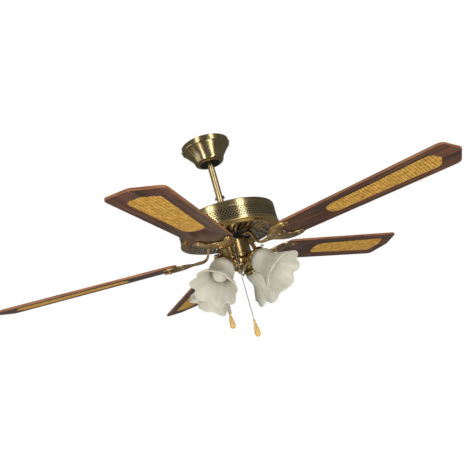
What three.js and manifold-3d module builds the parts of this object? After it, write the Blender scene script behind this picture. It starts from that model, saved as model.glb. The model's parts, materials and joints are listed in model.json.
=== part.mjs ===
// Five-blade ceiling fan with a four-lamp light kit, hung from a ceiling canopy on a short downrod.
// Millimetres, +Z up. The origin is the centre of the hanger bracket's face on the ceiling.
// Front is -Y. Heights below the ceiling are worked out from BLADE_PLANE, the underside of the blades.
import * as THREE from 'three';
import { mergeVertices } from 'three/addons/utils/BufferGeometryUtils.js';
import Module from 'manifold-3d';

const wasm = await Module();
wasm.setup();

// ---------------------------------------------------------------- driving dimensions
const GAP = 0.3;                       // clearance between pieces that touch
const BLADE_PLANE = -340;              // underside of the blades, below the ceiling
const BLADE_COUNT = 5;
const BLADE_PHASE = 256.1;             // azimuth of the first blade at rest, degrees
const BLADE_PITCH = 8.7;               // each blade's leading side hangs this much lower, degrees
const BLADE_THICKNESS = 6;
const BLADE_ROOT_R = 165;
const BLADE_TIP_R = 660;               // half of the 1320 mm sweep
const CANE_DEPTH = 2.2;                // recess for the cane panel in the blade's underside
const CANE_THICKNESS = 1.8;

const ROD_R = 9.5;
const ROD_BORE_R = 7.5;
const SHAFT_R = 7;
const BALL_R = 24;
const BALL_Z = -34;
const COUPLING_Z = BLADE_PLANE + 168;  // cross bolt that joins the rod to the motor shaft

const CANOPY_R = 70;
const DRUM_R = 141;
const DRUM_TOP = BLADE_PLANE + 109;
const BAND_TOP = BLADE_PLANE + 91;
const BAND_BOTTOM = BLADE_PLANE + 54;
const VENT_Z = BLADE_PLANE + 42;       // inner edge of the vented bottom plate
const VENT_COUNT = 40;
const FLYWHEEL_Z = BLADE_PLANE + 41;

const SWITCH_R = 44.5;
const SWITCH_TOP = BLADE_PLANE + 30;
const SWITCH_BOTTOM = BLADE_PLANE - 17;
const NOZZLE_Z = BLADE_PLANE + 8;
const CHAIN_R = 59;                    // how far the pull chains hang from the centre
const CHAIN_BEAD_R = 1.6;
const FAN_CHAIN = { azimuth: 270, length: 205 };
const LIGHT_CHAIN = { azimuth: 180, length: 159 };
const FOB_LENGTH = 46;

const LAMP_COUNT = 4;
const LAMP_PHASE = 235;                // azimuth of the first lamp, degrees
const LAMP_TILT = 45;                  // each lamp's axis points down and out by this angle, degrees
const LAMP_RADIUS = 61;                // centre of the gallery ring from the fan's axis
const LAMP_Z = BLADE_PLANE - 33;
const SHADE_LENGTH = 110;
const SHADE_RIM_R = 65;

// ---------------------------------------------------------------- materials
const material = (color, roughness, metalness, extra = {}) =>
  new THREE.MeshStandardMaterial({ color, roughness, metalness, ...extra });
const BRASS = material(0x9a7a3a, 0.28, 1);
const DARK_BRASS = material(0x5d4924, 0.35, 1);
const STEEL = material(0x8d9093, 0.4, 1);
const BLACK = material(0x17181a, 0.5, 0.4);
const WALNUT = material(0x5a3e34, 0.45, 0);
const CANE = material(0xc39432, 0.6, 0);
const GLASS = material(0xe6e2cf, 0.35, 0, { transparent: true, opacity: 0.85 });
const BULB = material(0xf4f0e4, 0.3, 0);
const PORCELAIN = material(0xd9d4c6, 0.4, 0);
const FOB_WOOD = material(0xc89445, 0.4, 0);
const PLASTIC = material(0x2a2a2c, 0.5, 0);

// ---------------------------------------------------------------- geometry helpers
const rad = THREE.MathUtils.degToRad;

/** Keeps only positions, welds equal points, drops empty triangles and turns the faces outwards. */
function weld(source) {
  const bare = source.clone();
  bare.deleteAttribute('normal');
  bare.deleteAttribute('uv');
  const merged = mergeVertices(bare, 1e-4);
  const position = merged.attributes.position;
  const kept = [];
  let volume = 0;
  const a = new THREE.Vector3();
  const b = new THREE.Vector3();
  const c = new THREE.Vector3();
  for (let i = 0; i < merged.index.count; i += 3) {
    const [p, q, r] = [0, 1, 2].map((k) => merged.index.getX(i + k));
    if (p === q || q === r || r === p) continue;
    a.fromBufferAttribute(position, p);
    b.fromBufferAttribute(position, q);
    c.fromBufferAttribute(position, r);
    volume += a.dot(b.clone().cross(c));
    kept.push([p, q, r]);
  }
  merged.setIndex(kept.flatMap(([p, q, r]) => (volume < 0 ? [p, r, q] : [p, q, r])));
  return merged;
}

/** A welded geometry as a manifold solid, for cutting and joining. */
function solid(geometry) {
  const closed = weld(geometry);
  const mesh = new wasm.Mesh({
    numProp: 3,
    vertProperties: new Float32Array(closed.attributes.position.array),
    triVerts: new Uint32Array(closed.index.array),
  });
  return new wasm.Manifold(mesh);
}

/** A manifold solid as a three.js geometry. */
function geometryOf(manifold) {
  const mesh = manifold.getMesh();
  const geometry = new THREE.BufferGeometry();
  geometry.setAttribute('position', new THREE.BufferAttribute(new Float32Array(mesh.vertProperties), 3));
  geometry.setIndex(new THREE.BufferAttribute(new Uint32Array(mesh.triVerts), 1));
  return geometry;
}

/** Joins geometries, then takes others away. */
function combine(joined, removed = []) {
  let body = solid(joined[0]);
  for (const extra of joined.slice(1)) body = body.add(solid(extra));
  for (const tool of removed) body = body.subtract(solid(tool));
  return geometryOf(body);
}

/** A turned piece about Z from [radius, z] points. */
function turned(points, segments = 32) {
  const profile = points.map(([r, z]) => new THREE.Vector2(Math.max(r, 0), z));
  const closes = points[0][0] > 0 || points[points.length - 1][0] > 0;
  if (closes) profile.push(profile[0].clone());
  return weld(new THREE.LatheGeometry(profile, segments).rotateX(Math.PI / 2));
}

/** An upright cylinder from z0 to z1. */
function rod(radius, z0, z1, segments = 20) {
  const height = z1 - z0;
  return new THREE.CylinderGeometry(radius, radius, height, segments)
    .rotateX(Math.PI / 2)
    .translate(0, 0, z0 + height / 2);
}

/** A cylinder that lies along the direction of an azimuth, from radius r0 to r1 at height z. */
function radialRod(radius, r0, r1, z, azimuth, segments = 16) {
  const length = r1 - r0;
  return new THREE.CylinderGeometry(radius, radius, length, segments)
    .rotateZ(-Math.PI / 2)
    .translate(r0 + length / 2, 0, z)
    .rotateZ(rad(azimuth));
}

/** A box given by its lowest and highest corners. */
function box(low, high) {
  const size = high.map((value, i) => value - low[i]);
  return new THREE.BoxGeometry(...size)
    .translate(low[0] + size[0] / 2, low[1] + size[1] / 2, low[2] + size[2] / 2);
}

/** A flat outline in XY, given height upwards from z. */
function plate(shape, z, thickness, curveSegments = 6) {
  return new THREE.ExtrudeGeometry(shape, { depth: thickness, bevelEnabled: false, curveSegments })
    .translate(0, 0, z);
}

/** A bar or tube of a flat section carried along a smooth path. */
function swept(section, points, steps) {
  const path = new THREE.CatmullRomCurve3(points.map((p) => new THREE.Vector3(...p)), false, 'centripetal');
  return new THREE.ExtrudeGeometry(section, { steps, extrudePath: path, bevelEnabled: false });
}

const group = new THREE.Group();

/** Adds one named piece to the fan. */
function add(name, geometry, look, parent = group) {
  const mesh = new THREE.Mesh(weld(geometry), look);
  mesh.name = name;
  parent.add(mesh);
  return mesh;
}

// ---------------------------------------------------------------- hanging: bracket, canopy, ball, downrod
const BRACKET_HALF = 60;
const EAR_Z = -16;
const SEAT_Z = BALL_Z - 11;
const SCREW_Z = -9;

/** Ceiling plate, stirrup with a round seat for the ball, and two ears for the canopy screws. */
function hangerBracket() {
  const legs = [-1, 1].flatMap((side) => [
    box([side * 33 - 1.5, -14, SEAT_Z], [side * 33 + 1.5, 14, -2]),
    box([side * 61 - 1.5, -8, EAR_Z], [side * 61 + 1.5, 8, -1]),
  ]);
  const face = box([-BRACKET_HALF - 2.5, -17, -3], [BRACKET_HALF + 2.5, 17, 0]);
  const seat = box([-34.5, -19, SEAT_Z], [34.5, 19, SEAT_Z + 4]);
  const ballSpace = new THREE.SphereGeometry(BALL_R + 0.9, 20, 12).rotateX(Math.PI / 2).translate(0, 0, BALL_Z);
  const slots = [-1, 1].map((side) => rod(3, -4, 1, 12).translate(side * 47, 0, 0));
  const screwHoles = radialRod(2.5, -70, 70, SCREW_Z, 0);
  return combine([face, seat, ...legs], [ballSpace, ...slots, screwHoles]);
}

/** Spun cover with a straight band, a bell-shaped side and a rolled edge round the rod's opening. */
function canopy() {
  const shell = turned([
    [CANOPY_R, -1.5], [CANOPY_R, -17], [57, -31], [45.5, -48], [41.5, -57], [36, -62.6], [29, -64],
    [29, -62.6], [35, -61], [39.8, -56.2], [44, -47.6], [55.8, -30], [CANOPY_R - 1.4, -16.3],
    [CANOPY_R - 1.4, -1.5],
  ], 24);
  return combine([shell], [radialRod(2.5, -80, 80, SCREW_Z, 0)]);
}

/** Round-headed screw through the canopy's band into one ear of the bracket. */
function canopyScrew(azimuth) {
  return combine([
    radialRod(2, 56, CANOPY_R + 1, SCREW_Z, azimuth, 12),
    radialRod(4, CANOPY_R + GAP, CANOPY_R + 2.4, SCREW_Z, azimuth, 16),
  ]);
}

/** The ball that hangs in the bracket's seat, bored for the rod and its cross pin. */
function hangerBall() {
  const bore = ROD_R + GAP;
  const reach = Math.sqrt(BALL_R ** 2 - bore ** 2);
  const steps = 8;
  const start = Math.atan2(reach, bore);
  const profile = [];
  for (let i = 0; i <= steps; i += 1) {
    const angle = start - (2 * start * i) / steps;
    profile.push([BALL_R * Math.cos(angle), BALL_Z + BALL_R * Math.sin(angle)]);
  }
  return combine([turned(profile, 20)], [radialRod(3 + GAP, -30, 30, BALL_Z, 90)]);
}

/** Downrod tube with cross holes for the ball's pin and the coupling bolt. */
function downrod() {
  const top = -18;
  const bottom = BLADE_PLANE + 124;
  const tube = turned([[ROD_BORE_R, bottom], [ROD_R, bottom], [ROD_R, top], [ROD_BORE_R, top]], 16);
  return combine([tube], [radialRod(3 + GAP, -20, 20, BALL_Z, 90), radialRod(3, -20, 20, COUPLING_Z, 0)]);
}

/** Bolt with its head and nut, across the rod and the motor shaft. */
function couplingBolt() {
  return combine([
    radialRod(2.7, -13, 12, COUPLING_Z, 0, 12),
    radialRod(5, ROD_R + GAP, ROD_R + 4.2, COUPLING_Z, 0, 6),
    radialRod(5, -ROD_R - 3.8, -ROD_R - GAP, COUPLING_Z, 0, 6),
  ]);
}

add('hanger_bracket', hangerBracket(), STEEL);
add('canopy', canopy(), BRASS);
add('canopy_screw_right', canopyScrew(0), BRASS);
add('canopy_screw_left', canopyScrew(180), BRASS);
add('hanger_ball', hangerBall(), PLASTIC);
add('ball_pin', radialRod(3, -16, 16, BALL_Z, 90, 12), STEEL);
add('downrod', downrod(), BRASS);
add('coupling_bolt', couplingBolt(), STEEL);

// ---------------------------------------------------------------- motor and its drum
/** Fixed hollow shaft that carries the stator, the drum and the switch housing. */
function motorShaft() {
  const tube = turned([
    [4, BLADE_PLANE + 20], [SHAFT_R, BLADE_PLANE + 20], [SHAFT_R, BLADE_PLANE + 186], [4, BLADE_PLANE + 186],
  ], 14);
  return combine([tube], [radialRod(3, -20, 20, COUPLING_Z, 0)]);
}

/** Iron stack with a winding above and below it. */
function stator() {
  const bore = SHAFT_R + GAP;
  return turned([
    [bore, BLADE_PLANE + 64], [58, BLADE_PLANE + 62.5], [62, BLADE_PLANE + 68], [72, BLADE_PLANE + 68],
    [72, BLADE_PLANE + 86], [62, BLADE_PLANE + 86], [58, BLADE_PLANE + 92], [bore, BLADE_PLANE + 90],
  ], 20);
}

/** Turning cup round the stator, with the flywheel that carries the blade irons below the drum. */
function rotor() {
  const bore = SHAFT_R + GAP;
  return turned([
    [bore, FLYWHEEL_Z], [60, FLYWHEEL_Z], [60, FLYWHEEL_Z + 6], [52, FLYWHEEL_Z + 6],
    [52, BLADE_PLANE + 55], [92, BLADE_PLANE + 55], [95, BLADE_PLANE + 58], [95, BLADE_PLANE + 96],
    [90, BLADE_PLANE + 96], [90, BLADE_PLANE + 60], [bore, BLADE_PLANE + 60],
  ], 24);
}

/** Upper cover of the drum: a low dome, a rounded shoulder and a plain band. */
function drumTop() {
  const wall = 1.5;
  return turned([
    [SHAFT_R + GAP, DRUM_TOP + 4], [DRUM_R - 8.5, DRUM_TOP - wall], [DRUM_R - wall, DRUM_TOP - 8],
    [DRUM_R - wall, BAND_TOP + GAP], [DRUM_R, BAND_TOP + GAP], [DRUM_R, DRUM_TOP - 8],
    [DRUM_R - 2.4, DRUM_TOP - 2.6], [DRUM_R - 8, DRUM_TOP], [20, DRUM_TOP + 6.5],
    [12, DRUM_TOP + 12], [SHAFT_R + GAP, DRUM_TOP + 12],
  ], 40);
}

/** Ring that carries the rows of small holes. */
function drumBand() {
  return turned([
    [DRUM_R - 2, BAND_BOTTOM + GAP], [DRUM_R - 0.6, BAND_BOTTOM + GAP],
    [DRUM_R - 0.6, BAND_TOP], [DRUM_R - 2, BAND_TOP],
  ], 40);
}

/** Ogee moulding under the perforated band. */
function drumMoulding() {
  return turned([
    [DRUM_R - 3, BAND_BOTTOM], [DRUM_R + 0.5, BAND_BOTTOM], [DRUM_R + 1.5, BAND_BOTTOM - 2],
    [DRUM_R - 0.5, BAND_BOTTOM - 4], [DRUM_R - 16, BAND_BOTTOM - 9.5], [DRUM_R - 16, BAND_BOTTOM - 7.5],
  ], 40);
}

/** Shallow bottom plate of the drum with radial vent slots round the flywheel. */
function ventPlate() {
  const outer = DRUM_R - 16 - 3 * GAP;
  const dish = turned([
    [64, VENT_Z], [outer, VENT_Z + 3], [outer, VENT_Z + 4.5], [64, VENT_Z + 1.5],
  ], 30);
  const slots = [];
  for (let i = 0; i < VENT_COUNT; i += 1) {
    const slot = box([72, -2.2, VENT_Z - 3], [115, 2.2, VENT_Z + 8]);
    slots.push(slot.rotateZ(rad((360 * i) / VENT_COUNT)));
  }
  return combine([dish], slots);
}

add('motor_shaft', motorShaft(), STEEL);
add('stator', stator(), DARK_BRASS);
add('drum_top', drumTop(), BRASS);
add('drum_band', drumBand(), BRASS);
add('drum_moulding', drumMoulding(), BRASS);
add('vent_plate', ventPlate(), BRASS);
add('rotor', rotor(), BLACK);

// ---------------------------------------------------------------- switch housing and pull chains
const REVERSE_AZIMUTH = 90;

/** Cup under the motor that holds the switches; its wall is pierced for the nozzles and the slider. */
function switchHousing() {
  const wall = 1.6;
  const cup = turned([
    [SHAFT_R + GAP, SWITCH_TOP - wall], [SWITCH_R - wall, SWITCH_TOP - wall], [SWITCH_R - wall, SWITCH_BOTTOM],
    [SWITCH_R + 1.2, SWITCH_BOTTOM], [SWITCH_R + 1.2, SWITCH_BOTTOM + 3], [SWITCH_R, SWITCH_BOTTOM + 4],
    [SWITCH_R, SWITCH_TOP - 2], [SWITCH_R - 2, SWITCH_TOP], [SHAFT_R + GAP, SWITCH_TOP],
  ], 28);
  const nozzleHoles = [FAN_CHAIN, LIGHT_CHAIN].map((chain) => radialRod(3.5, 38.5, 48.5, NOZZLE_Z, chain.azimuth));
  const sliderSlot = box([38.5, -5.3, NOZZLE_Z - 8.3], [48.5, 5.3, NOZZLE_Z + 8.3]).rotateZ(rad(REVERSE_AZIMUTH));
  return combine([cup], [...nozzleHoles, sliderSlot]);
}

/** Pull-chain switch: a body inside the housing and a threaded nozzle that ends in a bell mouth. */
function pullSwitch(azimuth) {
  const body = box([17, -11, NOZZLE_Z - 9], [39.5, 11, NOZZLE_Z + 9]).rotateZ(rad(azimuth));
  const nozzle = radialRod(3.1, 38.5, 57, NOZZLE_Z, azimuth, 16);
  const mouth = radialRod(4.6, SWITCH_R + GAP, SWITCH_R + 2.6, NOZZLE_Z, azimuth, 6);
  const bore = radialRod(1.9, 46, 59, NOZZLE_Z, azimuth, 12);
  return combine([body, nozzle, mouth], [bore]);
}

/** Run capacitor beside the switches. */
function capacitor() {
  return box([12, -16, NOZZLE_Z - 9], [34, 16, NOZZLE_Z + 8]).rotateZ(rad(0));
}

/** Slide switch that reverses the motor: a frame in the housing's wall. */
function reverseSwitch() {
  const body = box([30.5, -9, NOZZLE_Z - 10], [40.9, 9, NOZZLE_Z + 10]);
  const frame = box([40.5, -5, NOZZLE_Z - 8], [45.9, 5, NOZZLE_Z + 8]);
  const track = box([39.5, -3, NOZZLE_Z - 6], [48.5, 3, NOZZLE_Z + 6]);
  return combine([body, frame], [track]).rotateZ(rad(REVERSE_AZIMUTH));
}

/** The button that slides in the reversing switch's track. */
function reverseSlider() {
  return combine([
    box([39.9, -2.6, NOZZLE_Z + 0.2], [45.5, 2.6, NOZZLE_Z + 5.6]),
    box([45.4, -1.6, NOZZLE_Z + 1.6], [47.9, 1.6, NOZZLE_Z + 4.2]),
  ]).rotateZ(rad(REVERSE_AZIMUTH));
}

const CHAIN_TOP = NOZZLE_Z - 3.1 - GAP;

/** Straight run of bead chain, hanging just outside its nozzle. */
function chainRun(chain) {
  const section = new THREE.Shape().absarc(0, 0, CHAIN_BEAD_R, 0, 2 * Math.PI);
  const low = CHAIN_TOP - chain.length;
  const steps = Math.round(chain.length / (6 * CHAIN_BEAD_R));
  const points = [[0, 0, CHAIN_TOP], [0, 0, (CHAIN_TOP + low) / 2], [0, 0, low]];
  const path = new THREE.CatmullRomCurve3(points.map((p) => new THREE.Vector3(...p)));
  const options = { steps, extrudePath: path, bevelEnabled: false, curveSegments: 4 };
  const x = CHAIN_R * Math.cos(rad(chain.azimuth));
  const y = CHAIN_R * Math.sin(rad(chain.azimuth));
  return new THREE.ExtrudeGeometry(section, options).translate(x, y, 0);
}

/** Turned wooden drop at the end of a chain. */
function fob(chain) {
  const top = CHAIN_TOP - chain.length - GAP;
  const x = CHAIN_R * Math.cos(rad(chain.azimuth));
  const y = CHAIN_R * Math.sin(rad(chain.azimuth));
  return turned([
    [0, top], [2.2, top], [2.6, top - 4], [6.9, top - 30], [7.8, top - 37],
    [6.9, top - 42.5], [4.2, top - FOB_LENGTH + 0.8], [0, top - FOB_LENGTH],
  ], 14).translate(x, y, 0);
}

add('switch_housing', switchHousing(), BRASS);
add('capacitor', capacitor(), PLASTIC);
add('fan_switch', pullSwitch(FAN_CHAIN.azimuth), BRASS);
add('light_switch', pullSwitch(LIGHT_CHAIN.azimuth), BRASS);
add('reverse_switch', reverseSwitch(), PLASTIC);
add('reverse_slider', reverseSlider(), PLASTIC);
add('fan_chain', chainRun(FAN_CHAIN), BRASS);
add('fan_fob', fob(FAN_CHAIN), FOB_WOOD);
add('light_chain', chainRun(LIGHT_CHAIN), BRASS);
add('light_fob', fob(LIGHT_CHAIN), FOB_WOOD);

// ---------------------------------------------------------------- light kit
const HUB_R = 28;
const HUB_WALL = 1.8;
const HUB_TOP = SWITCH_BOTTOM - GAP;
const ARM_Z = BLADE_PLANE - 29;         // the short arms that carry the lamp holders
const ARM_R = 6;

const lampAzimuth = (index) => LAMP_PHASE + (360 / LAMP_COUNT) * index;

/** Places something turned about Z, with +Z along the lamp's axis, onto one lamp of the kit. */
function onLamp(geometry, index) {
  return geometry
    .rotateY(rad(90 + LAMP_TILT))
    .translate(LAMP_RADIUS, 0, LAMP_Z)
    .rotateZ(rad(lampAzimuth(index)));
}

/** Round body of the light kit, open at the top and pierced for the four arms. */
function lightHub() {
  const bowl = turned([
    [SWITCH_R - 2.2, HUB_TOP], [SWITCH_R - 2.2, HUB_TOP - 2.5], [HUB_R, HUB_TOP - 5], [HUB_R, HUB_TOP - 20],
    [HUB_R - 9, HUB_TOP - 30], [4.3, HUB_TOP - 34], [4.3, HUB_TOP - 31.5], [HUB_R - 10, HUB_TOP - 28],
    [HUB_R - HUB_WALL, HUB_TOP - 19], [HUB_R - HUB_WALL, HUB_TOP],
  ], 20);
  const armHoles = [];
  for (let i = 0; i < LAMP_COUNT; i += 1) armHoles.push(radialRod(ARM_R + GAP, 16, 40, ARM_Z, lampAzimuth(i)));
  return combine([bowl], armHoles);
}

/** Cap nut that closes the bottom of the light kit. */
function hubFinial() {
  const z = HUB_TOP - 34 - GAP;
  return turned([
    [0, z + 6], [4, z + 6], [4, z], [9, z], [9.5, z - 2], [6, z - 3.5], [6.5, z - 6], [3.5, z - 8.5], [0, z - 9],
  ], 14);
}

/** Lamp holder: an arm from the hub, a bell cup for the socket and the gallery ring for the glass. */
function lampHolder(index) {
  const cup = turned([
    [0, -19], [8, -17.5], [15.5, -10], [19, -1], [27.5, 0.5], [31, 2.5], [31, 12],
    [29.6, 12], [29.6, 3.8], [16.5, 2], [14, -8], [9, -13.5], [0, -15.5],
  ], 16);
  return combine([onLamp(cup, index), radialRod(ARM_R, 25, 44, ARM_Z, lampAzimuth(index))]);
}

/** Lamp socket that stands in the holder's cup. */
function lampSocket() {
  return turned([
    [0, -14], [8, -12.3], [11.5, -8], [11.5, 17], [7.6, 17], [7.6, -8], [0, -8],
  ], 12);
}

/** Small round bulb with its screw cap in the socket. */
function bulb() {
  return turned([
    [0, -7.4], [4, -7.4], [7.2, -4], [7.2, 18.6], [16, 27], [21.6, 36], [21.6, 50], [14, 60.5], [0, 65.5],
  ], 14);
}

/** Frosted glass shade: a neck in the gallery, a rounded shoulder, a waist and a flared mouth. */
function shade() {
  const outer = [
    [28.2, 5], [28.2, 12.5], [32.6, 20], [33.2, 37], [37, 55], [46, 75], [57, 94], [SHADE_RIM_R, SHADE_LENGTH],
  ];
  const inner = [
    [61.4, SHADE_LENGTH], [54, 95.5], [43, 76.5], [34, 56.5], [30.2, 38], [29.6, 22], [25.4, 14], [25.4, 5],
  ];
  return turned([...outer, ...inner], 16);
}

add('light_hub', lightHub(), BRASS);
add('hub_finial', hubFinial(), BRASS);
for (let i = 0; i < LAMP_COUNT; i += 1) {
  const tag = i + 1;
  add(`lamp_holder_${tag}`, lampHolder(i), BRASS);
  add(`lamp_socket_${tag}`, onLamp(lampSocket(), i), PORCELAIN);
  add(`bulb_${tag}`, onLamp(bulb(), i), BULB);
  add(`shade_${tag}`, onLamp(shade(), i), GLASS);
}

// ---------------------------------------------------------------- blades on their cast irons
/** A rounded end of the cane panel or the blade, mirrored about the blade's centre line. */
function mirroredOutline(points) {
  const shape = new THREE.Shape();
  const back = points.slice().reverse().map(([r, s]) => [r, -s]);
  const all = [...points, ...back];
  shape.moveTo(...all[0]);
  for (const [r, s] of all.slice(1)) shape.lineTo(r, s);
  shape.closePath();
  return shape;
}

const bladeOutline = () => mirroredOutline([
  [BLADE_ROOT_R, 34], [BLADE_ROOT_R + 5, 44], [BLADE_ROOT_R + 16, 52], [BLADE_TIP_R - 42, 65.5],
  [BLADE_TIP_R - 32, 65], [BLADE_TIP_R - 25, 63], [BLADE_TIP_R - 20, 59], [BLADE_TIP_R - 1, 4],
]);

const caneOutline = (grow) => mirroredOutline([
  [303 - grow, 6], [305 - grow, 15 + grow], [311, 23 + grow], [322, 28 + grow], [580, 37.5 + grow],
  [592, 36.5 + grow], [600 + grow, 31 + grow], [612 + grow, 3],
]);

/** Turns something built flat, with its underside at z = 0, to its blade's pitch and azimuth. */
function onBlade(geometry, index) {
  return geometry
    .rotateX(rad(-BLADE_PITCH))
    .translate(0, 0, BLADE_PLANE)
    .rotateZ(rad(BLADE_PHASE + (360 / BLADE_COUNT) * index));
}

/** Blade board with the recess for its cane panel. */
function blade() {
  const board = plate(bladeOutline(), 0, BLADE_THICKNESS);
  return combine([board], [plate(caneOutline(GAP), -1, 1 + CANE_DEPTH)]);
}

const IRON_THICKNESS = 4.5;

/** Open fork of a blade iron that lies under the blade's root. */
function ironFork() {
  const fork = mirroredOutline([
    [104, 9], [112, 10], [120, 15], [127, 25], [136, 38], [148, 48.5], [164, 54], [182, 54], [196, 50.5],
    [204, 44], [204.5, 37], [198, 31], [184, 26.5], [173, 20.5], [167.5, 12], [166.5, 4],
  ]);
  return plate(fork, -IRON_THICKNESS - GAP, IRON_THICKNESS);
}

/** Curved arm from the flywheel down and out to the fork. */
function ironArm() {
  const section = new THREE.Shape();
  section.moveTo(-10, -2.6);
  section.lineTo(10, -2.6);
  section.lineTo(10, 2.6);
  section.lineTo(-10, 2.6);
  section.closePath();
  const z = -2.6;
  const points = [
    [52, 0, 37.6], [61, 0, 36.5], [68, 0, 31], [72, 0, 20], [76.5, 0, 8], [85, 0, z + 1.5], [98, 0, z], [114, 0, z],
  ];
  return swept(section, points, 16);
}

/** One cast iron: pad under the flywheel, arm and fork, placed at its blade. */
function bladeIron(index) {
  const arm = combine([
    ironArm(),
    box([40, -12, 35.2], [58, 12, 41 - GAP]),
  ]).translate(0, 0, BLADE_PLANE).rotateZ(rad(BLADE_PHASE + (360 / BLADE_COUNT) * index));
  return combine([arm, onBlade(ironFork(), index)]);
}

for (let i = 0; i < BLADE_COUNT; i += 1) {
  const tag = i + 1;
  add(`blade_iron_${tag}`, bladeIron(i), BRASS);
  add(`blade_${tag}`, onBlade(blade(), i), WALNUT);
  const cane = plate(caneOutline(0), CANE_DEPTH - GAP - CANE_THICKNESS, CANE_THICKNESS);
  add(`cane_panel_${tag}`, onBlade(cane, i), CANE);
}

export default group;
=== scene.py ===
"""Ceiling fan with a four-lamp light kit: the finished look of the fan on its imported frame.

Sizes are in millimetres in the frame of the model, with the origin on the ceiling, and are turned into
metres only when a mesh is made. Heights are worked out from the underside of the blades.
"""

from __future__ import annotations

import json
import logging
import math
from dataclasses import dataclass, field
from enum import Enum
from typing import Callable, Sequence

import bmesh
import bpy
from mathutils import Matrix, Vector

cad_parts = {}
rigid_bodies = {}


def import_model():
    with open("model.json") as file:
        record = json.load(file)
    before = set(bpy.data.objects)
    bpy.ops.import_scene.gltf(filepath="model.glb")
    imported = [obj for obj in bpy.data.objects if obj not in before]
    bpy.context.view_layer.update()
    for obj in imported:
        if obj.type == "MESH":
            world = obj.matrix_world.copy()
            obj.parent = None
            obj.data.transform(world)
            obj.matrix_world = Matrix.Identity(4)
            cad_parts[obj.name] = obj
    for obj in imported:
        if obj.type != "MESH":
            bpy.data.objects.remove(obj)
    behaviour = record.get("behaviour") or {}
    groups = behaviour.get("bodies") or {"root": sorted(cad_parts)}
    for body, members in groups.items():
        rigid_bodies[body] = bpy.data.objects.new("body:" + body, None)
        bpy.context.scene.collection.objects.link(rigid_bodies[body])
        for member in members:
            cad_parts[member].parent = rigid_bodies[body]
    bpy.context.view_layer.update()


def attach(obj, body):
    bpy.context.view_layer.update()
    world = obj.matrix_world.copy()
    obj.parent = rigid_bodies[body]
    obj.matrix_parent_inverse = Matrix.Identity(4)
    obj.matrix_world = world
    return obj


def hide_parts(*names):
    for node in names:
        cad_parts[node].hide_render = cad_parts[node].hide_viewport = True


LOG = logging.getLogger("fan")

MM = 0.001
BLADE_PLANE = -340.0
TAU = 2 * math.pi
FRONT = 270  # azimuth of the side that faces the camera, in degrees
MIDDLE = -0.33  # height of the fan's middle, in metres

Point2 = tuple[float, float]
Point3 = tuple[float, float, float]
Colour = tuple[float, float, float]


class Body(Enum):
    """The rigid bodies that pieces ride on."""

    CEILING = "ceiling_mount"
    FAN = "fan"
    BLADES = "blades"
    FAN_PULL = "fan_pull"
    LIGHT_PULL = "light_pull"


class Slot(Enum):
    """The record's material slots."""

    BRASS = "brass"
    STEEL = "steel"
    MOTOR_IRON = "motor_iron"
    BLACK_METAL = "black_metal"
    WALNUT = "walnut"
    CANE = "cane"
    FROSTED_GLASS = "frosted_glass"
    BULB_GLASS = "bulb_glass"
    PORCELAIN = "porcelain"
    FOB_WOOD = "fob_wood"
    PLASTIC = "plastic"


# ------------------------------------------------------------------ forms


@dataclass
class Form:
    """Points and faces in millimetres, before they become a piece.

    Args:
        points: places in the form's own frame.
        faces: corner numbers of each face.
        marks: the material number of each face.
    """

    points: list[Vector] = field(default_factory=list)
    faces: list[tuple[int, ...]] = field(default_factory=list)
    marks: list[int] = field(default_factory=list)

    def add(self, other: "Form", place: Matrix | None = None, mark: int | None = None) -> "Form":
        """Joins another form to this one.

        Args:
            other: the form to take in.
            place: where it goes in this form's frame.
            mark: the material number for its faces, or its own numbers if left out.

        Returns:
            This form.
        """
        first = len(self.points)
        self.points += [place @ p if place else p.copy() for p in other.points]
        self.faces += [tuple(first + i for i in face) for face in other.faces]
        self.marks += [mark] * len(other.faces) if mark is not None else other.marks
        return self

    def face(self, *corners: int, mark: int = 0) -> None:
        """Adds one face from its corner numbers."""
        self.faces.append(corners)
        self.marks.append(mark)


def smooth(points: Sequence[Sequence[float]], steps: int = 4) -> list[tuple[float, ...]]:
    """Carries a smooth line through points.

    Args:
        points: the places that the line passes through.
        steps: how many pieces lie between two places.

    Returns:
        The points of the line, with its two ends.
    """
    line: list[tuple[float, ...]] = []
    last = len(points) - 1
    for i in range(last):
        p0, p1 = points[max(i - 1, 0)], points[i]
        p2, p3 = points[i + 1], points[min(i + 2, last)]
        for k in range(steps):
            t = k / steps
            line.append(tuple(
                0.5 * (2 * b + (c - a) * t + (2 * a - 5 * b + 4 * c - d) * t * t + (3 * b - a - 3 * c + d) * t**3)
                for a, b, c, d in zip(p0, p1, p2, p3)
            ))
    line.append(tuple(points[last]))
    return line


def turned(profile: Sequence[Point2], segments: int = 96) -> Form:
    """Turns a closed profile about Z.

    Args:
        profile: (radius, height) points. It closes on itself, or on the axis where both ends are there.
        segments: how many faces go round.

    Returns:
        The turned form.
    """
    form = Form()
    on_axis = profile[0][0] <= 0 and profile[-1][0] <= 0
    rings: list[list[int]] = []
    for radius, height in profile:
        if radius <= 1e-6:
            form.points.append(Vector((0, 0, height)))
            rings.append([len(form.points) - 1])
            continue
        first = len(form.points)
        for k in range(segments):
            angle = TAU * k / segments
            form.points.append(Vector((radius * math.cos(angle), radius * math.sin(angle), height)))
        rings.append(list(range(first, first + segments)))
    pairs = list(zip(rings, rings[1:]))
    if not on_axis:
        pairs.append((rings[-1], rings[0]))
    for low, high in pairs:
        for k in range(segments):
            j = (k + 1) % segments
            if len(low) == 1 and len(high) == 1:
                continue
            if len(low) == 1:
                form.face(low[0], high[j], high[k])
            elif len(high) == 1:
                form.face(low[k], low[j], high[0])
            else:
                form.face(low[k], low[j], high[j], high[k])
    return form


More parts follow.
